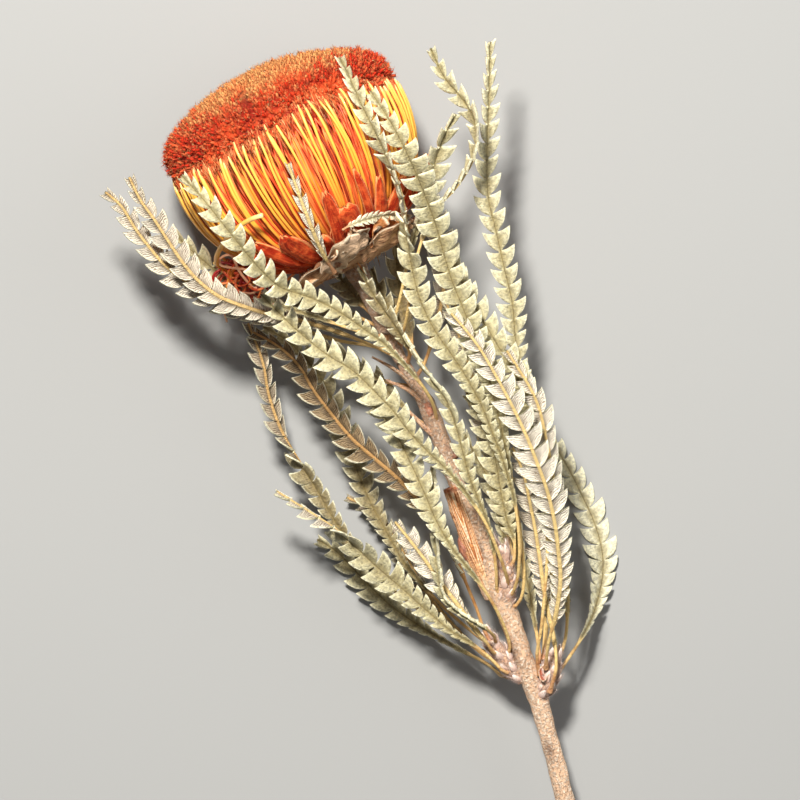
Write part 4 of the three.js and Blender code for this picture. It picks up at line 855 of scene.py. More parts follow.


# tone above 0 browns a leaf, partly real dryness and partly painted shade; below 0 it is cream, partly
# painted light
leafRows = {  # half width, start of the blade, tone, roll, then across, down, height and a roll of their own
    "left_shoot_1": (3.6, 0.42, 0.3, 0, [
        (515, 673, 12.4), (505, 679, 11.2), (488, 665, 9.3), (448, 644, 6), (412, 622, 4), (385, 602, 2.6, 5),
        (355, 572, 2, 10), (335, 552, 2, 10), (316, 540, 3, 10)]),
    "left_shoot_2": (4.6, 0.3, 0.1, 0, [
        (512, 669, 12.5), (505, 673, 15.2), (490, 658, 16.8), (472, 644, 17.6), (452, 632, 18),
        (428, 612, 17.5), (400, 587, 17), (372, 563, 17, 10), (342, 536, 17, 55), (310, 514, 18, 105),
        (275, 492, 20, 120)]),
    "left_shoot_3": (4, 0.36, 0.62, 0, [
        (498, 651, 13.1), (496, 650, 9.6), (478, 637, 9), (448, 612, 6.5), (425, 588, 6.3), (405, 565, 6.3),
        (388, 535, 6.3), (370, 502, 6.3), (355, 465, 6.3), (343, 432, 6.5), (331, 398, 7), (312, 366, 8),
        (288, 342, 9), (262, 326, 10)]),
    "left_shoot_4": (3.8, 0.4, 0, 180, [
        (498, 651, 13.1), (494, 653, 16.6), (486, 642, 19.3), (475, 629, 21.3), (461, 609, 22),
        (445, 588, 21.5), (425, 560, 20), (408, 538, 17), (395, 522, 14)]),
    "left_shoot_5": (3.2, 0.35, 0, 60, [
        (494, 645, 13.2), (494, 638, 18), (485, 629, 24), (469, 619, 27), (453, 608, 27.5), (443, 596, 27.3),
        (438, 576, 26.8), (435.5, 545, 26), (434, 505, 26.5), (433, 466, 27.5)]),
    "left_shoot_6": (3.9, 0.46, 0, 0, [
        (503, 657, 13), (510, 651, 15.4), (507, 634, 18.5), (496, 609, 23.5), (481, 585, 27.5),
        (466, 566, 30), (451, 546, 31.3), (436, 520, 31.5), (424, 492, 31.5), (411, 464, 31), (397, 436, 30),
        (380, 412, 29), (360, 396, 28)]),
    "left_shoot_7": (4.4, 0.3, 0.95, 110, [
        (491, 643, 13.3), (483, 630, 13.5), (477, 612, 13.8), (468, 590, 15), (455, 560, 15.5),
        (438, 528, 16, 120), (420, 505, 16, 132), (398, 480, 16, 145), (372, 457, 16, 155),
        (348, 435, 16, 160), (315, 393, 15.5, 165), (300, 368, 16, 165), (280, 348, 17, 165),
        (252, 332, 18, 165)]),
    "left_shoot_8": (3.2, 0.45, 0.7, 150, [
        (510, 666, 12.6), (507, 668, 9.2), (487, 654, 6), (470, 645, 4), (430, 600, 2.1), (400, 550, 2.1),
        (375, 514, 2.5), (345, 498, 3.6)]),
    "left_shoot_9": (3.6, 0.42, 0.72, 0, [
        (505, 660, 12.8), (491, 660, 12.2), (465, 641, 10), (430, 618, 10.3), (395, 592, 10.5),
        (362, 560, 10.5), (335, 522, 10.5), (315, 488, 10.5, 15), (293, 455, 11, 80), (279, 428, 12, 140),
        (268, 395, 13, 155), (262, 362, 14, 160), (247, 322, 15, 160)]),
    "right_shoot_1": (4.9, 0.16, 0, 180, [
        (546, 668, 17), (548, 645, 22), (556, 612, 26.5), (560, 580, 29.5), (558, 552, 31.5), (554, 522, 34),
        (547, 492, 36.5), (537, 464, 38.5), (525, 434, 40), (511, 405, 41), (496, 377, 41.5),
        (480, 350, 41.5), (465, 330, 41.5), (450, 313, 41.5)]),
    "right_shoot_2": (3.8, 0.3, 0.2, 150, [
        (556, 664, 14.5), (565, 640, 15.5), (567, 610, 18), (566, 580, 21), (562, 545, 24.5), (556, 500, 28),
        (550, 465, 30.5), (545, 440, 32), (539, 412, 33, 155), (530, 390, 34, 155), (518, 370, 34.5, 160),
        (505, 350, 35, 160)]),
    "right_shoot_3": (4, 0.36, -0.2, 0, [
        (544, 660, 13.5), (548, 620, 13), (551, 580, 13), (551, 540, 13.2), (547, 495, 14), (540, 450, 15.5),
        (530, 410, 17.5), (520, 372, 19.5), (515, 335, 21), (512, 302, 21.5), (504, 268, 22),
        (496, 232, 22.5), (488, 196, 23.5, -10), (487, 150, 25, -25), (489, 100, 27, -30),
        (490, 42, 29, -30)]),
    "right_shoot_4": (4.2, 0.3, -0.95, 0, [
        (556, 677, 12.5), (568, 660, 11.5), (580, 642, 9.5), (592, 620, 6), (599, 600, 3.6), (604, 575, 1.6),
        (603, 550, 0.7), (595, 522, 0.3), (583, 496, 0.3), (571, 472, 0.8), (558, 450, 2.2),
        (547, 432, 3.6)]),
    "right_shoot_5": (3.9, 0.34, 0, 180, [
        (550, 692, 15.5), (556, 670, 18.5), (555, 645, 18.5), (549, 615, 17.5), (544, 590, 17),
        (540, 560, 17), (535, 528, 17.2), (529, 498, 17.8), (523, 472, 18.3), (512, 446, 19)]),
    "right_shoot_6": (2.8, 0.3, 0.4, 20, [
        (541, 664, 12), (536, 630, 10), (530, 595, 8.5), (522, 562, 7.5), (514, 530, 6.8), (505, 495, 6.5)]),
    "right_shoot_7": (4.2, 0.42, 0, 0, [
        (540, 676, 14.5), (537, 655, 17.5), (541, 630, 20), (544, 600, 21.8), (547, 560, 23.2),
        (547, 520, 24.3), (543, 480, 25.5), (537, 440, 27), (528, 405, 28), (515, 375, 29), (500, 350, 30),
        (488, 330, 30.5), (477, 312, 31), (465, 290, 31.5), (455, 268, 32), (443, 243, 32.5)]),
    "middle_shoot_1": (4.7, 0.4, 0, 0, [
        (508, 590, 15.5), (507, 578, 20.8), (501, 560, 26), (487, 526, 31), (468, 496, 33.5),
        (447, 470, 35.5), (428, 452, 36.5, 5), (410, 433, 37, 12), (393, 411, 37.5, 15), (375, 392, 38, 12),
        (353, 371, 38, 5), (326, 354, 38), (300, 333, 38), (280, 314, 38.5), (261, 294, 39)]),
    "middle_shoot_2": (2.9, 0.36, 0, 0, [
        (503, 602, 14.3), (497, 590, 17), (496, 570, 21), (491, 535, 25.5), (478, 499, 28), (469, 476, 29.5),
        (462, 450, 30.5, 10), (455, 425, 31, 25), (445, 400, 31.5, 50), (430, 378, 32, 65),
        (415, 355, 32.5, 65), (404, 334, 32.5, 65)]),
    "middle_shoot_3": (3.8, 0.26, 0.1, 0, [
        (505, 600, 14.4), (512, 594, 18), (518, 575, 23), (519, 540, 27), (514, 500, 30), (503, 462, 32),
        (491, 430, 33.5), (480, 403, 34.5), (464, 374, 35.5), (448, 350, 36.5), (433, 328, 37),
        (420, 300, 38), (412, 270, 39, 10), (406, 235, 42.5, 60), (402, 205, 51, 80), (393, 175, 57.5, 75),
        (378, 142, 61, 30), (362, 108, 60.5), (350, 80, 57, -15), (340, 60, 52, -20)]),
    "middle_shoot_4": (4.2, 0.22, 0, 0, [
        (507, 572, 16.3), (514, 560, 18), (514, 540, 19), (508, 524, 19.5), (502, 498, 20), (497, 468, 20.5),
        (491, 440, 21), (480, 415, 21.5), (466, 392, 22)]),
    "middle_shoot_5": (4.8, 0.34, 0, 0, [
        (503, 606, 14), (513, 608, 15.5), (522, 596, 18), (524, 570, 20.5), (520, 530, 22.5),
        (514, 495, 23.5), (507, 458, 25.5), (499, 420, 28), (489, 382, 31), (476, 345, 33.5), (464, 312, 36),
        (452, 282, 38), (444, 256, 40), (436, 228, 43), (427, 203, 47), (416, 176, 52), (404, 150, 56),
        (390, 124, 57.5), (370, 93, 56.5)]),
    "middle_shoot_6": (3.4, 0.3, 0.4, 140, [
        (508, 580, 16), (513, 566, 13.5), (509, 540, 13.5), (500, 490, 14.8), (488, 440, 16.5),
        (475, 390, 17), (461, 345, 18), (443, 297, 19)]),
    "middle_shoot_7": (3, 0.3, 0, 0, [
        (507, 590, 15.5), (508, 578, 11.5), (505, 545, 10), (499, 508, 10), (489, 480, 10), (477, 458, 10.5),
        (463, 432, 11)]),
    "upper_stem_1": (3.9, 0.3, 0, 0, [
        (437, 424, 18), (435, 411, 23), (429, 396, 28.5), (416, 378, 33), (400, 360, 35.5), (384, 344, 37),
        (366, 331, 38.5), (348, 318, 39.5), (328, 306, 41), (304, 296, 43), (281, 288, 46.5),
        (262, 271, 51.5), (244, 250, 56), (224, 225, 58.5), (204, 200, 57.5), (183, 177, 51.5)]),
    "upper_stem_2": (4, 0.34, 0.3, 180, [
        (402, 362, 19), (393, 356, 24.5), (373, 346, 28), (340, 333, 30), (305, 322, 31), (272, 315, 32),
        (245, 307, 33), (220, 297, 34), (200, 282, 34), (185, 265, 34), (170, 243, 34), (155, 220, 34),
        (141, 200, 34), (130, 177, 35)]),
    "upper_stem_3": (4, 0.34, 0.35, 170, [
        (397, 352, 19), (387, 350, 21.8), (370, 346, 23.3), (340, 341, 23.2), (300, 330, 24.5),
        (260, 316, 26.5), (225, 303, 27.5), (195, 287, 28), (168, 268, 28), (150, 248, 28), (135, 228, 28),
        (122, 207, 28.5), (105, 192, 30)]),
    "upper_stem_4": (3.6, 0.45, 0.3, 0, [
        (388, 338, 22), (355, 330, 18), (310, 315, 17), (265, 301, 17), (238, 288, 17), (222, 276, 17),
        (205, 262, 17), (190, 249, 17), (173, 232, 18)]),
    "upper_stem_5": (3.3, 0.52, -0.1, 80, [
        (398, 345, 19), (404, 325, 27), (409, 298, 33), (415, 262, 37), (425, 228, 38), (437, 206, 38.5),
        (452, 190, 39.5), (463, 175, 40), (471, 160, 40.5, 75), (475, 143, 41, 65), (474, 126, 41.5, 50),
        (468, 111, 42, 38), (458, 97, 42, 25), (447, 84, 42, 12), (438, 68, 42, 0), (430, 50, 43, 0)]),
    "upper_stem_6": (4.5, 0.55, 0, -40, [
        (386, 330, 19.5, -20), (395, 318, 25, -30), (403, 288, 29), (411, 250, 30.5), (421, 215, 31.5),
        (430, 185, 32), (437, 158, 33), (445, 136, 34.5), (456, 115, 36, -35)]),
    "upper_stem_7": (3.4, 0.4, 0.6, 0, [
        (417, 388, 17.5), (404, 385, 15), (384, 381, 14), (355, 367, 14), (325, 350, 14), (298, 333, 15)]),
    "upper_stem_8": (3.2, 0.4, 0.6, 0, [
        (432, 428, 17), (418, 420, 14.5), (402, 405, 13.5), (380, 385, 12), (345, 358, 11)]),
    "upper_stem_9": (2.6, 0.3, 0.62, 25, [
        (407, 366, 19, 0), (409, 352, 25), (401, 337, 29), (390, 320, 30.5, 20), (378, 303, 31, 20),
        (368, 286, 32.5), (361, 268, 36, 35)]),
    "upper_stem_10": (3.6, 0.3, 0.72, 0, [
        (404, 364, 17), (412, 350, 13.6), (409, 328, 12), (402, 306, 11.4), (398, 282, 11.4), (396, 258, 12),
        (397, 240, 12.5)]),
    "upper_stem_11": (3.4, 0.35, 0.55, 0, [
        (384, 332, 19), (373, 324, 15), (352, 315, 10), (320, 308, 6), (285, 305, 4), (250, 300, 3)]),
    "under_stem_1": (4.2, 0.25, 0.5, 180, [
        (508, 612, 13), (506, 575, 7), (505, 520, 4), (500, 470, 2.6), (490, 420, 2.2), (478, 370, 2.2),
        (463, 325, 2.4), (450, 290, 3)]),
    "under_stem_2": (4.2, 0.25, 0.5, 180, [
        (543, 676, 9.8), (546, 625, 6), (552, 580, 3.8), (549.5, 530, 2.6), (543.5, 485, 2.2),
        (534.5, 440, 2.2), (522, 395, 2.4), (508, 355, 3)]),
    "under_stem_3": (3.8, 0.3, 0.55, 180, [
        (414, 380, 17), (425, 362, 13), (435, 330, 9), (442, 300, 6.5), (445, 270, 5), (440, 235, 4),
        (432, 205, 3.5), (424, 180, 3.5)]),
    "under_stem_4": (3.6, 0.3, 0.72, 0, [
        (381, 323, 18.6), (371, 314, 17.2), (362, 304, 16), (353, 294, 14), (345, 284, 12), (338, 274, 10.6),
        (334, 268, 10)]),
    "under_stem_5": (2.3, 0.3, 0.5, 0, [
        (399, 355, 17.6), (401, 344, 15.4), (398, 330, 15.4), (391, 313, 15.6), (384, 298, 15.8),
        (377, 283, 16.2), (371, 268, 17)]),
    "head_leaf": (1.9, 0.16, -0.1, 180, [
        (334, 272, 40.35), (327, 261, 45.8), (319, 245, 51.6), (312, 228, 55.4), (302, 202, 58),
        (289, 165, 59.7)]),
}

for number, (leafName, (halfWidth, bladeFrom, tone, roll, rows)) in enumerate(leafRows.items()):
    route = [(*row, roll)[:4] for row in rows]
    tone = tone + 0.12 * float(spread(number * 7.7))
    # the head leaf's whole stalk takes the darker foot colour: painted shade where it crosses the collar
    footLong = 60 if leafName == "head_leaf" else 5
    shape = leafShape(halfWidth, bladeFrom, route, number * 11.3, tone, footLong=footLong)
    addPiece("leafBlade_" + leafName, shape, finishes["leaf"], ["leaf_" + leafName],
             leafStyle["sharp"])
print("leaves made")


# Stem, shoots and stubs

def stemHeight(down):
    # the stem's own axis falls evenly to the cut end
    return 2.6 + 18.4 * (sheet["cutEnd"] - down) / sheet["run"]


stemLine = [
    (692, 1123, 2.62), (664, 1050, 2.58), (636, 980, 2.5), (612, 915, 2.45), (588, 855, 2.4),
    (566, 800, 2.35), (558, 768, 2.45), (549, 738, 2.3), (539, 703, 2.5), (531, 680, 2.75), (521, 652, 2.6),
    (511, 622, 2.7), (502, 598, 2.8), (489, 560, 2.55), (470, 512, 2.2), (455, 480, 2.1), (446, 454, 2.15),
    (437, 430, 2.3), (430, 413, 2.35), (422, 395, 1.9), (411, 376, 1.8), (400, 358, 1.75), (390, 340, 1.8),
    (380, 320, 1.9), (371, 300, 2.1), (362, 282, 2.5), (354, 267, 3.4),
]
stemRows = [(a, d, stemHeight(d), r) for a, d, r in stemLine]
shoots = [  # left, right and middle
    [(523, 682, 12, 1.4), (514, 671, 12.4, 2.1), (505, 660, 12.8, 2.3), (497, 650, 13.1, 2.1),
     (490, 641, 13.3, 1)],
    [(538, 701, 11.6, 1.4), (545, 690, 13, 2), (550, 678, 13.8, 2.3), (552, 666, 14.2, 2),
     (553, 656, 14.5, 1)],
    [(501, 606, 13.8, 1.5), (507, 594, 15.3, 2.1), (507, 576, 16.2, 1.9), (504, 560, 16.6, 1.5),
     (501, 545, 17, 0.9)],
]
stubs = [
    [(491, 598, 12.6, 1.7), (479, 565, 15.1, 2.2), (467, 534, 16.4, 2.2), (458, 510, 17.2, 2.1),
     (450.5, 488, 18, 1.9)],
    [(417, 390, 18.5, 0.85), (402, 375, 19.6, 0.55), (387, 365, 19.8, 0.42), (372, 357, 19.6, 0.28)],
    [(425, 404, 18.5, 0.85), (408, 390, 20.2, 0.55), (386, 380, 20.6, 0.3)],
    [(434, 436, 17.6, 0.85), (421, 424, 19.4, 0.6), (404, 406, 20, 0.3)],
]
knots = [  # small lumps on the stem: redness, shade, rows
    (0.8, 0.1, [(474, 568, 14.4, 0.5), (469, 558, 15.4, 1.2), (465, 547, 16, 1.5), (462, 540, 16.2, 1.1),
                (461, 534, 16, 0.5)]),
    (0.2, 1.0, [(451, 460, 17.4, 0.6), (456, 455, 18.2, 1.0), (459, 450, 18.6, 0.5)]),
    (0.6, 0.25, [(430, 418, 19.2, 0.6), (430, 411, 20.0, 1.2), (426, 403, 20.4, 0.6)]),
]

# scars and swellings along the stem: how far down, angle round it, length, width in radians, height
stemMarks = [
    (757, 1.9, 2.2, 0.5, 0.35), (700, 0.4, 2.4, 0.6, 0.3), (664, 2.6, 3, 0.8, 0.3), (606, 0.6, 3, 0.8, 0.3),
    (560, 2.2, 4, 0.6, 0.3), (455, 1.2, 1.6, 0.5, 0.5), (412, 1.5, 1.8, 0.9, 0.45), (404, 0.3, 1.5, 0.5, 0.4),
    (520, 1, 1.6, 0.4, 0.25), (640, 4.4, 2.2, 0.5, 0.3), (860, 1.2, 2, 0.5, 0.35), (940, 3.4, 2, 0.5, 0.35),
    (1010, 0.6, 2, 0.5, 0.35), (1080, 2.4, 2, 0.5, 0.35), (900, 5.2, 2, 0.5, 0.3), (800, 4.4, 2, 0.5, 0.3),
]


def barkShape(rows, sides, spacing, seed, looks, marks=(), rough=1.0, fibrous=0.0):
    # round tube whose radius follows its rows, with low ridges along it and a rounded bump for each mark.
    # A look is an amount, or follows the share of the way and the place along Y.
    path = layPath(rows)
    s = np.linspace(0, path["length"], int(path["length"] / spacing) + 2)
    centre, extra, _, right, up = pathFrames(path, s)
    angle = turns(sides)[None, :]
    t = s[:, None]
    ridges = 0.035 * np.sin(3 * angle + t * 0.11 + seed) + 0.025 * np.sin(7 * angle - t * 0.23 + seed * 2)
    lumps = 0.03 * np.sin(t * 0.9 + 2 * angle + seed) + 0.02 * np.sin(t * 2.1 - 3 * angle)
    radius = extra[:, :1] * (1 + rough * (ridges + lumps))
    fibres = np.sin(9 * angle + t * 0.12) + 0.7 * np.sin(15 * angle - t * 0.2 + seed)
    radius = radius * (1 + fibrous * fibres)
    middle = alongPath(path, s)[:, 1]
    shade = np.zeros_like(radius)
    for down, around, lengthMm, widthRad, height in marks:
        here = np.argmin(np.abs(middle - (sheet["middle"] - down) * sheet["step"]))
        turn = np.angle(np.exp(1j * (angle - around))) / widthRad
        radius = radius + height * np.exp(-(((t - s[here]) / lengthMm) ** 2) - turn**2)
        shade = np.maximum(shade, np.exp(-(((t - s[here] - lengthMm) / (lengthMm * 1.2)) ** 2) - turn**2))
    rings = centre[:, None] + circle(right[:, None], up[:, None], angle) * radius[..., None]
    values = {"shade": shade, "redness": 0.0, "wood": 0.0}
    for key, look in looks.items():
        amount = look(s / path["length"], middle)[:, None] if callable(look) else look
        values[key] = np.maximum(values[key], amount)
    return sweep(rings, {**values, "fibre": 9 * np.sin(angle) + seed, "along": t / path["length"]})


def stemShade(share, y):
    # browner from the middle of the stem up to the head
    down = sheet["middle"] - y / sheet["step"]
    return 0.62 * smoothStep((505 - down) / 90)


def cutWood(share, y):
    # bare wood at the cut end
    return 1.0 * (share < 0.0005)


def scalesOn(rows, count, long, wide, seed):
    # small overlapping bud scales up a shoot: each an oval that leans out, turned 137 degrees from the last
    path = layPath(rows)
    index = np.arange(count)
    centre, extra, forward, right, up = pathFrames(path, path["length"] * (index + 0.5) / count)
    normal = circle(right, up, index * 2.4 + seed)
    root = centre + normal * (extra[:, :1] * 0.8)
    going = unit(forward + (0.3 + 0.25 * spread(index + seed))[:, None] * normal)
    across = np.cross(going, normal)
    face = np.cross(across, going)
    t = np.linspace(0, 1, 6)
    reach = long * (0.6 + 0.6 * chance(index + seed * 3))
    arch = (0.5 * np.sin(math.pi * t))[:, None]
    middle = root[:, None] + going[:, None] * (reach[:, None] * t)[..., None] + face[:, None] * arch
    turn = turns(8)
    half = wide * np.sin(math.pi * (0.14 + 0.8 * t))[:, None]
    aside, rise = half * np.cos(turn), 0.12 * np.sin(turn) - 0.25 * half * np.cos(turn) ** 2
    rings = middle[:, :, None] + across[:, None, None] * aside[None, ..., None]
    rings = rings + face[:, None, None] * rise[None, ..., None]
    return sweep(rings, {"along": (0.25 + 0.75 * t)[:, None], "tone": spread(index + seed)[:, None, None]})


def huskCup():
    # an empty husk on the right shoot: a profile of radius and height turned round, dark red inside
    outside = [(0.6, -2.2), (1.2, -1.3), (1.5, -0.3), (1.6, 0.5)]
    inside = [(1.4, 0.6), (1.25, 0.1), (0.9, -0.7), (0.3, -1)]
    out, height = np.array(outside + inside).T[:, :, None, None]
    centre = fromSheet([(544.5, 674, 15.9)])[0]
    axis = unit(np.array([-0.25, 0.3, 1.0]))
    side = unit(np.cross(axis, np.array([0, 1.0, 0])))
    other = np.cross(axis, side)
    angle = turns(16)[None, :, None]
    radius = out * (1 + 0.12 * np.sin(3 * angle + 1) * (height > -0.5))
    long = 1 + 0.35 * np.cos(angle) ** 2
    rings = centre + radius * (side * np.sin(angle) + other * np.cos(angle) * long) + axis * height
    dark = (np.arange(len(height)) > len(outside))[:, None] * 1.0
    return sweep(rings, {"redness": dark, "shade": dark * 0.5})


def tornRim(share, y):
    # the old bark left round the top of the broken stub
    return smoothStep((share - 0.95) / 0.03)


def stubWood(share, y):
    return smoothStep(share * 5) * (1 - 0.75 * tornRim(share, y))


def splinters(rows, count):
    # torn fibres along the broken stub and at its end
    path = layPath(rows)
    index = np.arange(count)
    s = path["length"] * (0.35 + 0.65 * chance(index + 2) ** 0.5)
    centre, extra, forward, right, up = pathFrames(path, s)
    normal = circle(right, up, 2 * math.pi * chance(index + 31))
    root = centre + normal * (extra[:, :1] * 0.9)
    tips = root + forward * (1.4 + 2.6 * chance(index + 7))[:, None]
    tips = tips + normal * (0.1 + 0.5 * chance(index + 13))[:, None]
    fibre = 3 * chance(index + 3)
    values = {"wood": (1.0, 1.0), "fibre": (fibre, fibre), "along": (s / path["length"], 1.0)}
    return spikes(root, tips, 0.25 + 0.3 * chance(index + 19), values)


stemStyle = {
    "scales": 24,
    "shootHairs": 2400,
    "scaleHairs": 1900,
    "splinters": 60,
}
stemLooks = {"shade": stemShade, "wood": cutWood}
mainStem = barkShape(stemRows, sides=24, spacing=0.9, seed=1.0, looks=stemLooks, marks=stemMarks)
stemParts = [mainStem, huskCup()]
fluffParts = []
for number, rows in enumerate(shoots):
    shoot = barkShape(rows, sides=14, spacing=0.6, seed=3.0 + number, looks={"redness": 0.15})
    stemParts.append(shoot)
    path = layPath(rows)
    lean = unit(path["table"][-1, :3] - path["table"][0, :3])
    scales = scalesOn(rows, stemStyle["scales"], long=4.0, wide=1.05, seed=2.0 + number)
    shootHairs = fuzzOn(
        shoot, stemStyle["shootHairs"], long=1.2, wide=0.06, seed=3.0 + number,
        lean=lean * 1.6, spreadOut=0.8)
    scaleHairs = fuzzOn(
        scales, stemStyle["scaleHairs"], long=1.3, wide=0.05, seed=13.0 + number,
        lean=lean * 1.8, spreadOut=0.8)
    fluffParts += [scales, shootHairs, scaleHairs]
stubLooks = {"wood": stubWood, "redness": tornRim}
stemParts.append(barkShape(stubs[0], sides=44, spacing=0.5, seed=5.0, looks=stubLooks, fibrous=0.045))
for number, rows in enumerate(stubs[1:], 1):
    looks = {"wood": 0.35, "shade": 0.25}
    stemParts.append(barkShape(rows, sides=10, spacing=0.5, seed=5.0 + number, looks=looks))
for redness, shade, rows in knots:
    looks = {"redness": redness, "shade": shade}
    stemParts.append(barkShape(rows, sides=10, spacing=0.4, seed=9.0, looks=looks, rough=4.0))
stemParts.append(splinters(stubs[0], stemStyle["splinters"]))
addPiece("shootFluff", merge(fluffParts), finishes["fluff"])


# Head

headTurn, headRise = math.radians(26), math.radians(6)
headPlace = {"across": 345, "down": 250, "height": 28.8}
headBase = np.array([
    (headPlace["across"] - sheet["middle"]) * sheet["step"],
    (sheet["middle"] - headPlace["down"]) * sheet["step"],
    headPlace["height"],
])
headAxis = np.array([
    -math.sin(headTurn) * math.cos(headRise), math.cos(headTurn) * math.cos(headRise), math.sin(headRise),
])
headRight = np.array([math.cos(headTurn), math.sin(headTurn), 0])
headUp = np.cross(headRight, headAxis)


def outwardAt(angle):
    # the way out from the head's axis, at an angle from the side that faces up towards the right
    return circle(headUp, headRight, angle)


def onHead(out, along, angle):
    # base + axis * along + way out * out
    out, along = np.asarray(out, float)[..., None], np.asarray(along, float)[..., None]
    return headBase + headAxis * along + outwardAt(angle) * out


def stemTop():
    # the stem's swollen top, turned round the head's axis
    fine = splineAt([(-9, 2.2), (-7, 2.5), (-5, 2.9), (-3.2, 3.6), (-2.3, 3.8)], np.linspace(0, 1, 12))
    along, out = fine.T[:, :, None]
    angle = turns(20)
    return sweep(onHead(out * (1 + 0.05 * np.sin(5 * angle + along)), along, angle), {"shade": 0.9})


stemParts.append(stemTop())
addPiece("stemBark", merge(stemParts), finishes["bark"], ["stem"])

perianthRows = [
    (5, 3.3), (13, 5.6), (20, 10), (24.6, 14.4), (27.8, 20), (29.2, 27), (29.4, 33), (30.4, 35.4),
    (31.8, 37.4), (31.9, 40), (30.9, 42.6), (28.2, 45.2), (24, 47.4), (18, 49.4), (11, 50.9), (4, 51.6),
    (0.3, 51.8),
]
stylePathRows = [
    (6.8, 1.5), (13, 2.4), (21, 6), (27, 11.5), (31, 19), (32.8, 26.5), (33, 31.5), (32.9, 35), (32.2, 38.5),
    (30.4, 42),
]
woolStyle = {
    "tufts": 2500,
    "tuftLong": 2.1,
    "tuftWide": 0.4,
    "hairsPerTuft": 14,
    "hairLong": 1.25,
    "hairWide": 0.13,
    "fringe": 4600,
    "fringeLong": 5.4,
    "from": 0.46,  # the share of the profile where the tufts begin
    "goldenAngle": math.radians(137.508),
    # the cleft is painted dark as shade through a low tone on its tufts and hairs
    "parting": [(243, 98), (251, 111), (260, 130)],  # a dark cleft in the wool, across and down the sheet
}


def pressFlat(points):
    # the wool lies flat where the head rests on the floor
    points = points.copy()
    points[..., 2] = np.where(points[..., 2] < 1.1, 0, points[..., 2])
    return points


def glowAt(out, along, seed):
    # 1 on the orange crown, 0 on the crimson rim and band
    edge = 22.3 + 5 * spread(seed)
    return smoothStep((edge + 4 - out) / 9) * smoothStep((np.asarray(along) - 41) / 5)


def bandEdge(angle):
    # how much higher the wool's lower edge stands on the side that faces up, in mm
    rise = 5.6 * np.maximum(0, np.cos(angle - 0.1)) ** 1.4 - 3.5
    turned = np.angle(np.exp(1j * (angle - 0.38)))
    rise = rise + 2.3 * np.exp(-((turned / 0.2) ** 2))
    rise = rise - 2.9 * np.maximum(0, np.sin(angle)) ** 12 - 0.6 * np.maximum(0, -np.sin(angle)) ** 6
    return rise + 0.4 * np.sin(5 * angle + 1) + 0.45 * np.sin(11 * angle) + 0.35 * np.sin(23 * angle)


def sideReach(angle):
    # the head is a little narrower to the right than to the left
    aside = np.sin(angle)
    return 1 - 0.045 * np.maximum(0, aside) ** 2 - 0.012 * np.maximum(0, -aside)


def shoulder(out, along, angle):
    # the crown's right shoulder is lower and closer in
    aside = np.maximum(0, np.sin(angle)) ** 2 * smoothStep(out / 25)
    return out * sideReach(angle), along - 1.6 * aside


def partingAt(points):
    # 1 in the cleft across the wool, falling to 0 within two millimetres on the sheet
    a = fromSheet([(x, y, 0) for x, y in woolStyle["parting"]])[:, :2]
    near = np.full(len(points), 99.0)
    for low, high in zip(a[:-1], a[1:]):
        side = high - low
        share = np.clip(((points[:, :2] - low) @ side) / (side @ side), 0, 1)
        near = np.minimum(near, np.linalg.norm(points[:, :2] - low - share[:, None] * side, axis=1))
    return smoothStep((1.7 - near) / 1.1) * (points[:, 2] > headBase[2])


def headCore():
    # the solid inside of the head: its profile turned round the axis, slightly lumpy
    out, along = splineAt(perianthRows, np.linspace(0, 1, 61)).T[:, :, None]
    angle = turns(90)
    lumps = 0.25 * np.sin(along * 1.9 + 11 * angle) * np.sin(17 * angle - along)
    out, along = shoulder(out - 0.7 + lumps, along - 0.3, angle)
    # a low along value gives the core the dark root colour: painted shade between the tufts
    values = {"along": 0.3, "glow": glowAt(out, along, 3.0), "tone": 0.0}
    return sweep(pressFlat(onHead(out, along, angle)), values)


def tuftPlaces():
    # where tufts stand by the golden angle, evenly over the crown and the rim: out, along, which way the
    # profile faces, angle round the head and number
    w = woolStyle
    samples = np.arange(400)
    profile = splineAt(perianthRows, np.linspace(w["from"], 1, len(samples)))[::-1]
    ring = np.concatenate([[0], np.cumsum(np.linalg.norm(np.diff(profile, axis=0), axis=1) * profile[1:, 0])])
    slope = np.gradient(profile, axis=0)
    normal = unit(np.stack([-slope[:, 1], slope[:, 0]], 1))
    normal = normal * np.sign(normal[:, 1:2] + normal[:, :1])
    index = np.arange(w["tufts"])
    place = np.interp((index + 0.5) / w["tufts"] * ring[-1], ring, samples)
    out, along, nOut, nAlong = (np.interp(place, samples, column) for column in (*profile.T, *normal.T))
    angle = index * w["goldenAngle"] + 0.04 * spread(index)
    keep = along > 37.4 + bandEdge(angle)
    return [x[keep] for x in (out, along, nOut, nAlong, angle, index)]


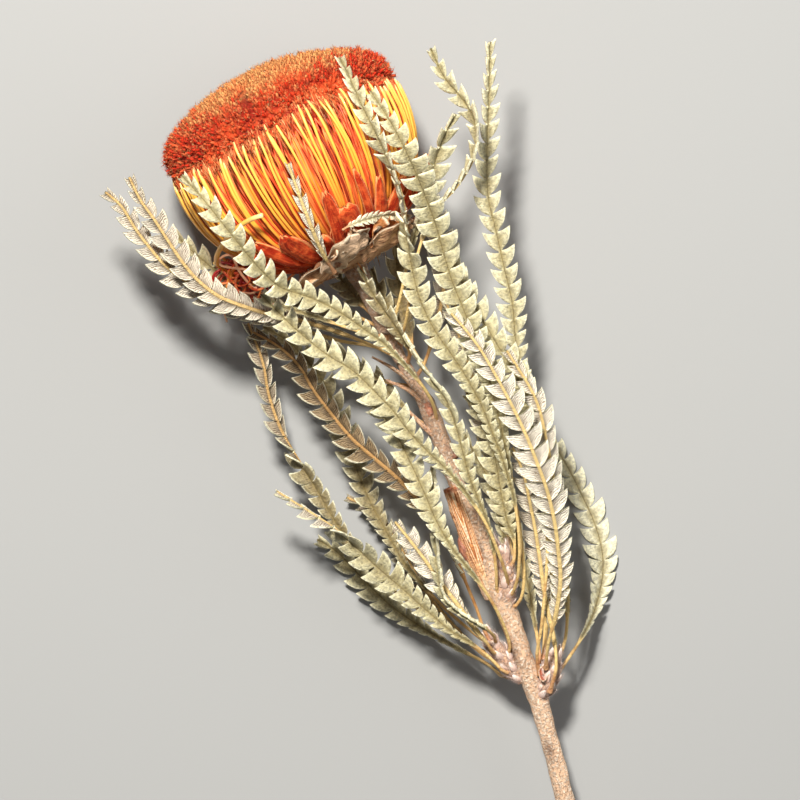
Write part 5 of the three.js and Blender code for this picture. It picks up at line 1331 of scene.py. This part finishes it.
def woolTufts():
    # a club for each tuft, with hairs all round it
    w = woolStyle
    out, along, nOut, nAlong, angle, index = tuftPlaces()
    cleft = partingAt(onHead(out, along, angle))
    lean = np.stack([spread(index + 11), spread(index + 23), spread(index + 37)], 1) * 0.34
    # rim tufts lean along the head, crown tufts stand straight
    direction = outwardAt(angle) * nOut[:, None] + headAxis * (nAlong + 0.35 * (1 - nAlong))[:, None]
    direction = unit(unit(direction) + lean)
    out, along = shoulder(out, along, angle)
    root = onHead(out - 1.3 * nOut, along - 1.3 * nAlong, angle)
    length = w["tuftLong"] * (0.55 + 0.85 * chance(index + 5)) * (1 - 0.75 * cleft)
    t = np.array([0, 0.4, 0.8, 1.0])
    swell = np.array([0.8, 1.0, 0.9, 0.3])
    aside = unit(np.cross(direction, headAxis + 0.3 * outwardAt(angle + 1.3)))
    other = np.cross(direction, aside)
    width = w["tuftWide"] * (0.8 + 0.4 * chance(index + 71))
    centre = root[:, None] + direction[:, None] * (length[:, None] * t)[..., None]
    ring = circle(aside[:, None], other[:, None], turns(5))
    rings = centre[:, :, None] + ring[:, None] * (width[:, None] * swell)[:, :, None, None]
    glow = np.clip(glowAt(out, along, index + 9) + 0.35 * spread(index + 3), 0, 1)
    # a low tone paints the cleft dark: painted shade
    tone = spread(index + 41) - 2 * cleft
    values = {"along": (0.6 * t)[:, None], "glow": glow[:, None, None], "tone": 0.6 * tone[:, None, None]}
    clubs = sweep(pressFlat(rings), values)
    return clubs, tuftHairs(root, direction, aside, other, length, width, glow, cleft)


def tuftHairs(*tufts):
    # the hairs round the clubs, each starting somewhere up its club and splayed outwards
    w = woolStyle
    hairs = np.repeat(np.arange(len(tufts[0])), w["hairsPerTuft"])
    root, direction, aside, other, length, width, glow, cleft = (x[hairs] for x in tufts)
    seed = np.arange(len(hairs)) * 1.37
    high = 0.25 + 0.75 * chance(seed)
    way = circle(aside, other, 2 * math.pi * chance(seed + 51))
    start = root + direction * (length * high)[:, None]
    start = start + way * (width * 0.6)[:, None]
    going = unit(way * (0.6 + 0.6 * chance(seed + 7))[:, None] + direction * (0.3 + 0.7 * high)[:, None])
    tips = start + going * (w["hairLong"] * (0.5 + 0.8 * chance(seed + 13)))[:, None]
    # a low tone paints the hairs in the cleft dark: painted shade
    tone = 0.55 * spread(seed + 19) + 0.6 * spread(hairs + 41) - 2 * cleft
    glow = np.clip(glow + 0.55 * (chance(seed + 77) > 0.7) - 0.3 * (chance(seed + 91) > 0.8), 0, 1)
    values = {"along": (0.15, 1.0), "glow": (glow, glow), "tone": (tone, tone)}
    wide = w["hairWide"] * (0.8 + 0.4 * chance(seed + 29))
    return spikes(pressFlat(start), pressFlat(tips), wide, values)


def bandFringe():
    # strands of wool that hang from the rim over and between the tops of the styles
    w = woolStyle
    index = np.arange(w["fringe"])
    angle = 2 * math.pi * (index + 0.8 * chance(index)) / w["fringe"]
    clump = np.sin(angle * 47 + 2 * np.sin(angle * 13))
    along = 38.4 + 2.2 * spread(index + 3) + bandEdge(angle)
    over = np.interp(along, [33, 36, 39, 43], [32.6, 32.6, 32.1, 30.2]) + 0.55 * spread(index + 9) - 0.3
    length = w["fringeLong"] * (0.35 + 1.1 * chance(index + 17) ** 1.6) * (1 + 0.6 * clump)
    out, along = shoulder(over, along, angle)
    root = onHead(out, along, angle)
    lower = np.interp(along - length, [27, 33, 36, 39, 43], [32.2, 32.6, 32.6, 32.2, 30.2])
    lower = lower * sideReach(angle) + 0.4 * spread(index + 31) - 0.2 - 0.3 * chance(index + 4)
    tips = onHead(lower, along - length, angle + 0.04 * spread(index + 43))
    tone = spread(index + 61)
    glow = 0.15 + 0.85 * chance(index + 83)
    values = {"along": (0.45, 1.0), "glow": (0.7 * glow, glow), "tone": (0.8 * tone, tone)}
    return spikes(pressFlat(root), pressFlat(tips), 0.2 + 0.14 * chance(index + 5), values)


def strandRings(angle, reach, endShare, wide, deep, sides, steps, wander, seed):
    # strands along the head's style path: (out, along) times reach, ended at a share of the path, each an
    # ellipse wide across and deep outwards, with a slow drift sideways
    share = np.linspace(0, 1, steps)[None, :]
    t = share * endShare[:, None]
    curve = splineAt(stylePathRows, t)
    ease = smoothStep(t * 4)
    out = curve[..., 0] * (1 + (reach[:, None] - 1) * ease) * sideReach(angle)[:, None]
    along = curve[..., 1] * (1 + (reach[:, None] - 1) * ease * 0.5)
    around = angle[:, None] + wander * np.sin(t * 4 + seed[:, None]) * t
    centre = onHead(out, along, around)
    forward = unit(np.gradient(centre, axis=1))
    side = unit(np.cross(forward, outwardAt(around)))
    face = np.cross(side, forward)
    turn = turns(sides)
    thin = (0.72 + 0.28 * smoothStep(t * 5)) * np.where(share >= 1, 0.45, 1)
    across = (wide[:, None] * thin)[..., None, None] * side[:, :, None] * np.cos(turn)[:, None]
    depth = (deep[:, None] * thin)[..., None, None] * face[:, :, None] * np.sin(turn)[:, None]
    rings = centre[:, :, None] + across + depth
    rings[..., 2] = np.maximum(rings[..., 2], 0.05)
    return rings, share[..., None]


styleSet = {
    "layers": [  # count, reach, radius, tone
        (84, 1.0, 0.41, 0.0),
        (46, 0.95, 0.39, 0.6),
        (34, 0.93, 0.37, 1.0),
    ],
    "tubes": 620,
    "tubeReach": 0.945,
    "curls": 46,
}


def headStyles():
    # layers of yellow threads round the head, from a disc at its base up into the wool
    rings, tones = [], []
    for layer, (count, reach, radius, toneStep) in enumerate(styleSet["layers"]):
        index = np.arange(count) + 200 * layer
        angle = 2 * math.pi * (np.arange(count) + 0.75 * spread(index) + 0.33 * layer) / count
        endAlong = 38.6 + bandEdge(angle) + 1.6 * spread(index + 7) - 0.7 * layer
        endShare = np.interp(endAlong, [31.5, 35, 38.5, 42], [6 / 9, 7 / 9, 8 / 9, 1.0])
        size = radius * (0.88 + 0.24 * chance(index + 3))
        far = reach + 0.012 * spread(index + 15)
        made, share = strandRings(
            angle, far, endShare, wide=size, deep=size, sides=7, steps=16, wander=0.035, seed=index * 1.3)
        rings.append(made)
        tones.append(toneStep + 0.35 * spread(index + 27))
    return sweep(np.concatenate(rings), {"along": share, "tone": np.concatenate(tones)[:, None, None]})


def perianthTubes():
    # flat satin ribbons under the styles
    count = styleSet["tubes"]
    index = np.arange(count)
    angle = 2 * math.pi * (index + 0.4 * spread(index + 2)) / count
    reach = styleSet["tubeReach"] + 0.035 * spread(index + 8)
    wide = 0.17 + 0.2 * chance(index + 31)
    endShare = np.full(count, 0.93)
    made, share = strandRings(
        angle, reach, endShare, wide=wide, deep=wide * 0.9, sides=5, steps=12, wander=0.06, seed=index * 2.1)
    return sweep(made, {"along": share, "tone": (spread(index + 44) + 0.1)[:, None, None]})


def discShape(radius, low, high):
    # a low disc round the head's axis
    rows = np.array([(radius * 0.8, low), (radius, low + 0.2), (radius, high - 0.3), (radius * 0.9, high)])
    out, along = rows.T[:, :, None]
    return sweep(onHead(out, along, turns(40)))


looseStyles = [  # radius, tone, rows: styles that have come loose at one side and curl
    (0.6, 0, [(302, 265, 20), (272, 272, 20), (245, 276, 20.5), (226, 272, 22.5), (217, 262, 28),
              (222, 248, 37), (236, 232, 47), (250, 222, 52.5), (264, 217, 55)]),
    (0.4, 0.5, [(302, 265, 18.8), (276, 276, 16), (252, 284, 14), (238, 282, 14), (230, 268, 15),
                (222, 258, 18), (214, 264, 20)]),
    (0.36, 0.4, [(302, 266, 18), (282, 284, 13), (258, 296, 8), (240, 301, 6), (222, 299, 5)]),
    (0.4, 0.9, [(302, 264, 21), (276, 274, 23), (254, 276, 24), (241, 268, 24.5), (232, 272, 24.5),
                (227, 288, 24)]),
]


def looseThreads():
    made = []
    for radius, tone, rows in looseStyles:
        shape = tubeAlong(
            rows, lambda share: radius * (0.8 + 0.3 * smoothStep(share * 3)),
            sides=8, spacing=0.9, tone=tone)
        shape["values"]["along"] = 0.15 + 0.85 * shape["values"]["along"]
        made.append(shape)
    return made


tangleRows = [  # radius, tone, rows: shed tubes and styles caught beside the head
    (0.36, 1.28, [(300, 270, 21), (268, 276, 24), (246, 270, 27), (222, 266, 27.5), (222, 258, 28),
                  (232, 256, 28.5), (240, 272, 27), (252, 287, 25), (257, 288, 25), (254, 293, 24.5),
                  (245, 293, 24), (228, 289, 23)]),
    (0.3, 0.9, [(262, 284, 22), (240, 281, 24), (222, 284, 24.5), (213, 281, 24)]),
    (0.28, 1.3, [(270, 290, 20), (258, 296, 22), (240, 302, 23), (226, 299, 23), (222, 306, 22),
                 (225, 315, 21), (227, 322, 20)]),
    (0.34, 1.4, [(274, 304, 20), (260, 312, 21), (253, 315, 22), (240, 315, 22.5), (225, 312, 22),
                 (213, 312, 21)]),
    (0.34, 0.8, [(240, 292, 24), (244, 298, 24.5), (258, 308, 23), (272, 318, 21)]),
    (0.22, 0.8, [(256, 268, 27), (262, 282, 26), (258, 298, 24), (248, 306, 23), (236, 300, 24),
                 (240, 290, 25)]),
    (0.22, 0.4, [(238, 262, 28), (228, 274, 27), (238, 286, 26), (250, 282, 26), (246, 272, 27)]),
]


def curl(seed):
    # a short flat tube bent round an arc, lying anyhow among the others
    across, down = 243 + 21 * spread(seed), 280 + 20 * spread(seed + 5)
    size = 9 + 7 * chance(seed + 9)
    first, bend = 6.3 * chance(seed + 13), 1.2 + 2.6 * chance(seed + 17)
    t = np.linspace(0, 1, 5)
    turn = first + bend * t
    height = 23 + 3 * spread(seed + 21) + 2 * spread(seed + 25) * (t - 0.5)
    return np.stack([across + size * np.cos(turn), down + size * np.sin(turn), height], 1)


def tangle():
    # the shed tubes and styles caught at the head's lower left
    made = [tubeAlong(rows, radius, sides=6, spacing=0.9, tone=tone) for radius, tone, rows in tangleRows]
    for number in range(styleSet["curls"]):
        wide = 0.26 + 0.16 * float(chance(number + 3.5))
        tone = 0.9 * float(spread(number * 2.3)) - 1.05
        made.append(tubeAlong(curl(number * 1.7), wide, sides=6, spacing=0.9, tone=tone))
    return merge(made)


styleParts = [headStyles(), discShape(radius=8, low=0.4, high=2.7)] + looseThreads()
addPiece("styleThreads", merge(styleParts), finishes["style"], ["styles"])
tuftShape, tuftHairs = woolTufts()
addPiece("perianthWool", merge([headCore(), tuftShape]), finishes["wool"], ["perianths"])
addPiece("perianthHairs", merge([tuftHairs, bandFringe()]), finishes["wool"], ["perianths"])
addPiece("perianthTubes", perianthTubes(), finishes["tube"], ["perianths"])
addPiece("shedTangle", tangle(), finishes["tube"])
print("head made")


# Bracts

def headSheet(f, angle, lift, thin, margin, along, tone):
    # a thin sheet beside the head's path, from grids of points: outside over and inside back, as
    # path(f) + normal * lift at an angle round the head
    rows = stylePathRows[:8]
    base = splineAt(rows, f)
    slope = unit(splineAt(rows, np.minimum(f + 0.02, 1)) - splineAt(rows, np.maximum(f - 0.02, 0)))
    made = []
    for height in (lift + thin, lift):
        out = base[..., 0] + slope[..., 1] * height
        made.append(onHead(out, base[..., 1] - slope[..., 0] * height, angle(out)))
    rings = np.concatenate([made[0], made[1][:, ::-1]], 1)
    edge = np.concatenate([margin, margin[:, ::-1] * 0.6], 1)
    return sweep(rings, {"along": along, "margin": edge, "tone": tone})


def stripShape(style, degrees, high, halfWidth, outline, seed, tone=None, hook=0.0, raised=0.0):
    # a strip up the side of the head, jagged at its end. Its lift over the path is offset + bend across +
    # crumple + ruffle, and its width follows the outline along it.
    tt = np.linspace(0, 1, style["steps"])[:, None]
    ss = np.linspace(-1, 1, style["columns"])[None, :]
    width = halfWidth * outline(tt) * ss
    low, jagged = 0.02, np.sin(6 * ss + seed * 1.7) + 0.5 * np.sin(13 * ss + seed)
    f = low + (high - low) * tt * (1 + style["jag"] * jagged)
    wave = np.sin(tt * 9 + seed + 2.2 * ss) + 0.5 * np.sin(tt * 19 + 3 * ss + seed * 2)
    wave = style["crumple"] * smoothStep(tt * 3) * (wave + 0.4 * np.sin(7 * ss + 5 * tt + seed))
    lift = style["offset"] + raised - style["bend"] * ss**2 * halfWidth * 0.35 + wave
    lift = lift + hook * smoothStep((tt - 0.7) / 0.3) + style["ruffle"] * tt**3 * np.sin(7 * ss + seed)
    thin = style["depth"] * (1 - 0.55 * tt) * (1 - 0.45 * ss**2)
    margin = np.maximum(np.abs(ss), smoothStep((tt - 0.9) / 0.1))
    tone = float(spread(seed)) * 0.5 if tone is None else tone
    turn = math.radians(degrees) + 0.05 * np.sin(tt * 3 + seed)
    return headSheet(f, lambda out: turn + width / np.maximum(out, 6), lift, thin, margin, tt, tone)


def crossShape(rows, offset, seed, tone):
    # a crumpled ribbon laid across the head from (degrees, reach along) to the next, narrow at both ends
    t = np.linspace(0, 1, 36)[:, None]
    ss = np.linspace(-1, 1, 7)[None, :]
    degrees, along, half = splineAt(rows, t[:, 0]).T[..., None]
    half = half * np.maximum(0.18, np.sin(math.pi * (0.06 + 0.88 * t)) ** 0.6)
    reach = reachAt(along + ss * half * (1 + 0.16 * np.sin(13 * t + seed)) + 0.35 * np.sin(8 * t + seed))
    folds = 0.8 * np.sin(9 * t + seed + 1.2 * ss) + 0.35 * np.sin(23 * t + 2 * seed - 2 * ss)
    lift = offset + folds + 0.3 * np.sin(5 * ss + 6 * t) + 0.7 * ss * np.sin(6 * t + seed)
    return headSheet(reach, lambda out: np.radians(degrees), lift, 0.42, np.abs(ss) ** 1.5, t, tone)


def pointedOutline(t):
    return np.sin(math.pi * (0.1 + 0.84 * t)) ** 0.7


def roundOutline(t):
    return np.minimum(1, 0.45 + 1.2 * t) * np.sqrt(np.clip(1 - np.maximum(t - 0.78, 0) ** 2 / 0.05, 0.08, 1))


def squareOutline(t):
    return np.minimum(1, 0.5 + 1.1 * t) * np.clip((1.03 - t) / 0.06, 0.35, 1)


stripStyles = {
    "bract": {"offset": 1.7, "depth": 1.1, "bend": 0.9, "crumple": 0.22, "jag": 0.012, "ruffle": 0.3,
              "steps": 16, "columns": 9},
    "inner": {"offset": 0.9, "depth": 0.7, "bend": 0.4, "crumple": 0.12, "jag": 0.0, "ruffle": 0.0,
              "steps": 16, "columns": 9},
    "collar": {"offset": 3.7, "depth": 0.5, "bend": -0.7, "crumple": 0.6, "jag": 0.05, "ruffle": 0.8,
               "steps": 30, "columns": 15},
}
bractStyle = {
    "inner": 16,
    "innerHalf": 2.3,
    "velvet": 15000,
    "down": 1600,
    "shreds": 150,
}
bractRows = [  # degrees round the head, how far along its tip is, half width, outline, hook
    (-63, 6.5, 3, roundOutline, 0.6), (-50, 12.5, 2.6, pointedOutline, 0.2),
    (-38, 15, 2.9, roundOutline, 0.5), (-24, 14.2, 3.4, roundOutline, 0.9),
    (-11, 9.5, 2.6, roundOutline, 0.4), (0, 19.5, 1.9, roundOutline, 0.2), (8, 14.2, 3.1, squareOutline, 0.8),
    (21, 21.4, 1.3, roundOutline, 0.1), (33, 16.7, 2.5, pointedOutline, 0.4),
    (47, 13.7, 3.1, roundOutline, 0.6), (59, 15.2, 2.2, pointedOutline, 0.2),
    (72, 14.6, 2.6, roundOutline, 0.7), (88, 12, 2.8, roundOutline, 0.2), (108, 11, 2.8, roundOutline, 0.4),
    (132, 10, 2.8, pointedOutline, 0), (156, 9, 2.8, roundOutline, 0.3), (180, 8.5, 2.8, pointedOutline, 0),
    (204, 9, 2.8, roundOutline, 0.3), (228, 10, 2.8, pointedOutline, 0), (250, 11, 2.8, roundOutline, 0.2),
    (272, 12, 2.6, pointedOutline, 0.2),
]
collarRows = [  # degrees, how far along, half width, tone
    (-54, 2.4, 3, -0.4), (-36, 4.2, 3.6, 0.1), (-17, 5.4, 4.2, -0.4), (-3, 7.6, 4.6, 0.2),
    (10, 9.6, 4.8, -0.1), (26, 8.6, 4.6, 0.8), (40, 7, 4.4, 0.1), (54, 5.6, 4, -0.2), (80, 4.2, 3.4, 0.2),
    (106, 3.6, 3.2, 0), (140, 3.2, 3, 0.2), (176, 3.2, 3, 0), (214, 2.6, 3, 0.1), (250, 2.2, 3, 0),
    (280, 1.8, 3, 0),
]
crossRows = [  # tone, then degrees round the head, how far along, half width
    (-0.3, [(-66, 1.6, 1.4), (-42, 2.8, 2.2), (-24, 3.8, 2.6), (-10, 4.3, 2.6), (3, 4.2, 2.4), (16, 3.6, 2.0),
            (28, 3.0, 1.2)]),
    (-0.7, [(-20, 5.0, 1.2), (-8, 6.2, 2.4), (4, 7.4, 2.6), (15, 7.4, 1.6)]),
    (0.2, [(8, 4.4, 1.2), (20, 5.2, 2.4), (32, 5.2, 2.6), (46, 4.4, 2.2), (60, 3.4, 1.2)]),
]


def reachAt(along):
    # the share of the head's outer path that ends so far along the axis
    fine = splineAt(stylePathRows[:8], np.linspace(0, 1, 200))
    return np.interp(along, fine[:, 1], np.linspace(0, 1, 200))


bractParts = [discShape(radius=8.8, low=-1.9, high=-0.2)]
for number, (degrees, along, halfWidth, outline, hook) in enumerate(bractRows):
    style, high = stripStyles["bract"], reachAt(along)
    bractParts.append(stripShape(style, degrees, high, halfWidth, outline, float(number), hook=hook))
for number in range(bractStyle["inner"]):
    degrees = -50 + number * 22.5 + 6 * float(spread(number))
    reach = 0.33 + 0.07 * float(chance(number + 5))
    style, halfWidth = stripStyles["inner"], bractStyle["innerHalf"]
    bractParts.append(stripShape(style, degrees, reach, halfWidth, pointedOutline, number + 40.0))
bractBase = merge(bractParts)
bractFuzz = fuzzOn(bractBase, bractStyle["velvet"], long=0.45, wide=0.05, seed=5.0, lean=headAxis * 0.9)
bractDown = fuzzOn(bractBase, bractStyle["down"], long=1.5, wide=0.05, seed=25.0, lean=headAxis * 1.1)
bractVelvet = merge([bractBase, bractFuzz, bractDown])
addPiece("bractVelvet", bractVelvet, finishes["bract"], ["involucral_bracts"])


def crumpledOutline(t):
    return np.minimum(1, 0.3 + 1.4 * t) * (0.9 + 0.1 * np.sin(t * 23)) * np.clip((1.04 - t) / 0.1, 0.5, 1)


def collarShreds():
    # torn fibres that hang from the collar's lower side towards the stem
    index = np.arange(bractStyle["shreds"])
    angle = np.radians(-68 + 150 * chance(index + 3))
    root = onHead(12 + 5 * chance(index + 7), 1.6 * spread(index + 11), angle)
    reach = 2 + 4.5 * chance(index + 13) ** 2
    lean = 0.5 * np.stack([spread(index + k) for k in (17, 19, 23)], 1)
    tips = root + (lean - headAxis - 0.3 * outwardAt(angle)) * reach[:, None]
    tone = spread(index + 29)
    values = {"along": (0.2, 1.0), "margin": (0.5 * chance(index), 1.0), "tone": (tone, tone)}
    return spikes(root, tips, 0.3 + 0.5 * chance(index + 31) ** 2, values)


collarParts = [discShape(radius=8.4, low=-4.6, high=-3)]
for number, (degrees, along, halfWidth, tone) in enumerate(collarRows):
    style, seed, raised = stripStyles["collar"], number * 2.1, 0.7 * (number % 2)
    collarParts.append(stripShape(
        style, degrees, reachAt(along), halfWidth, crumpledOutline, seed, tone, hook=1.1, raised=raised))
for number, (tone, rows) in enumerate(crossRows):
    collarParts.append(crossShape(rows, offset=5.6 + 0.4 * number, seed=1.3 * number + 0.4, tone=tone))
collarParts.append(collarShreds())
addPiece("collarPaper", merge(collarParts), finishes["collar"], ["collar_bracts"])

sprigRows = [(343, 231, 48, 20), (352, 226, 48.7, 10), (366, 221, 46.9, 0), (384, 217, 42.1, -15),
             (400, 216, 36.3, -30)]
sprig = leafShape(halfWidth=1.7, bladeFrom=0.04, route=sprigRows, seed=4.4, tone=-1.0, scale=0.42)
addPiece("silverSprig", sprig, finishes["leaf"], sharpAngle=leafStyle["sharp"])
print("bracts made")


# Floor, light and camera

def addFloor():
    # a plain pale floor
    size = 3.0
    mesh = bpy.data.meshes.new("floor")
    corners = [(-size, -size, 0), (size, -size, 0), (size, size, 0), (-size, size, 0)]
    mesh.from_pydata(corners, [], [(0, 1, 2, 3)])
    floor = bpy.data.objects.new("floor", mesh)
    bpy.context.scene.collection.objects.link(floor)
    settings = {"Roughness": 0.9, "Base Color": paint(0.63, 0.63, 0.62)}
    mesh.materials.append(Finish("floorFinish", None, settings).material)


def addLamps():
    # a soft key from the upper left of the picture, a weak fill and a weak light from above
    turn = Matrix.Rotation(-sheet["turn"], 4, "Z")
    middle = Vector((sheet["shift"][0] * 0.001, sheet["shift"][1] * 0.001, 0.02))
    lamps = [  # name, place on the sheet in metres, size, watts, warmth
        ("key", (-0.14, 0.42, 0.92), 0.15, 18.5, (1.0, 0.975, 0.94)),
        ("fill", (0.75, 0.2, 0.55), 0.9, 2.2, (0.97, 0.98, 1.0)),
        ("top", (0.0, 0.1, 1.2), 1.2, 1.6, (1.0, 1.0, 1.0)),
    ]
    for name, place, width, power, colour in lamps:
        data = bpy.data.lights.new(name, "AREA")
        data.shape = "DISK"
        data.size = width
        data.energy = power
        data.color = colour
        lamp = bpy.data.objects.new(name, data)
        spot = turn @ Vector(place) + middle
        lamp.location = spot
        lamp.rotation_euler = (middle - spot).to_track_quat("-Z", "Y").to_euler()
        lamp.visible_camera = False
        bpy.context.scene.collection.objects.link(lamp)


def addSky():
    # a pale sky, and colours shown as they are
    world = bpy.data.worlds.new("sky")
    world.use_nodes = True
    sky = world.node_tree.nodes["Background"].inputs
    sky["Color"].default_value = (0.9, 0.93, 1.0, 1)
    sky["Strength"].default_value = 0.1
    bpy.context.scene.world = world
    bpy.context.scene.view_settings.view_transform = "Standard"


def addCamera():
    # straight above the middle of the sheet, far off, and rolled with the sheet
    far = 4.0
    reference = 0.025  # the height at which the picture is as wide as the sheet
    sheetWide = 2 * sheet["middle"] * sheet["step"] * 0.001
    data = bpy.data.cameras.new("camera")
    data.sensor_width = 36
    data.lens = data.sensor_width * (far - reference) / sheetWide
    data.clip_start, data.clip_end = 0.1, 20
    camera = bpy.data.objects.new("camera", data)
    camera.location = (sheet["shift"][0] * 0.001, sheet["shift"][1] * 0.001, far)
    camera.rotation_euler = (0, 0, -sheet["turn"])
    bpy.context.scene.collection.objects.link(camera)
    bpy.context.scene.camera = camera


addFloor()
addLamps()
addSky()
addCamera()
print("all pieces:", triangleCount["all"], "triangles")
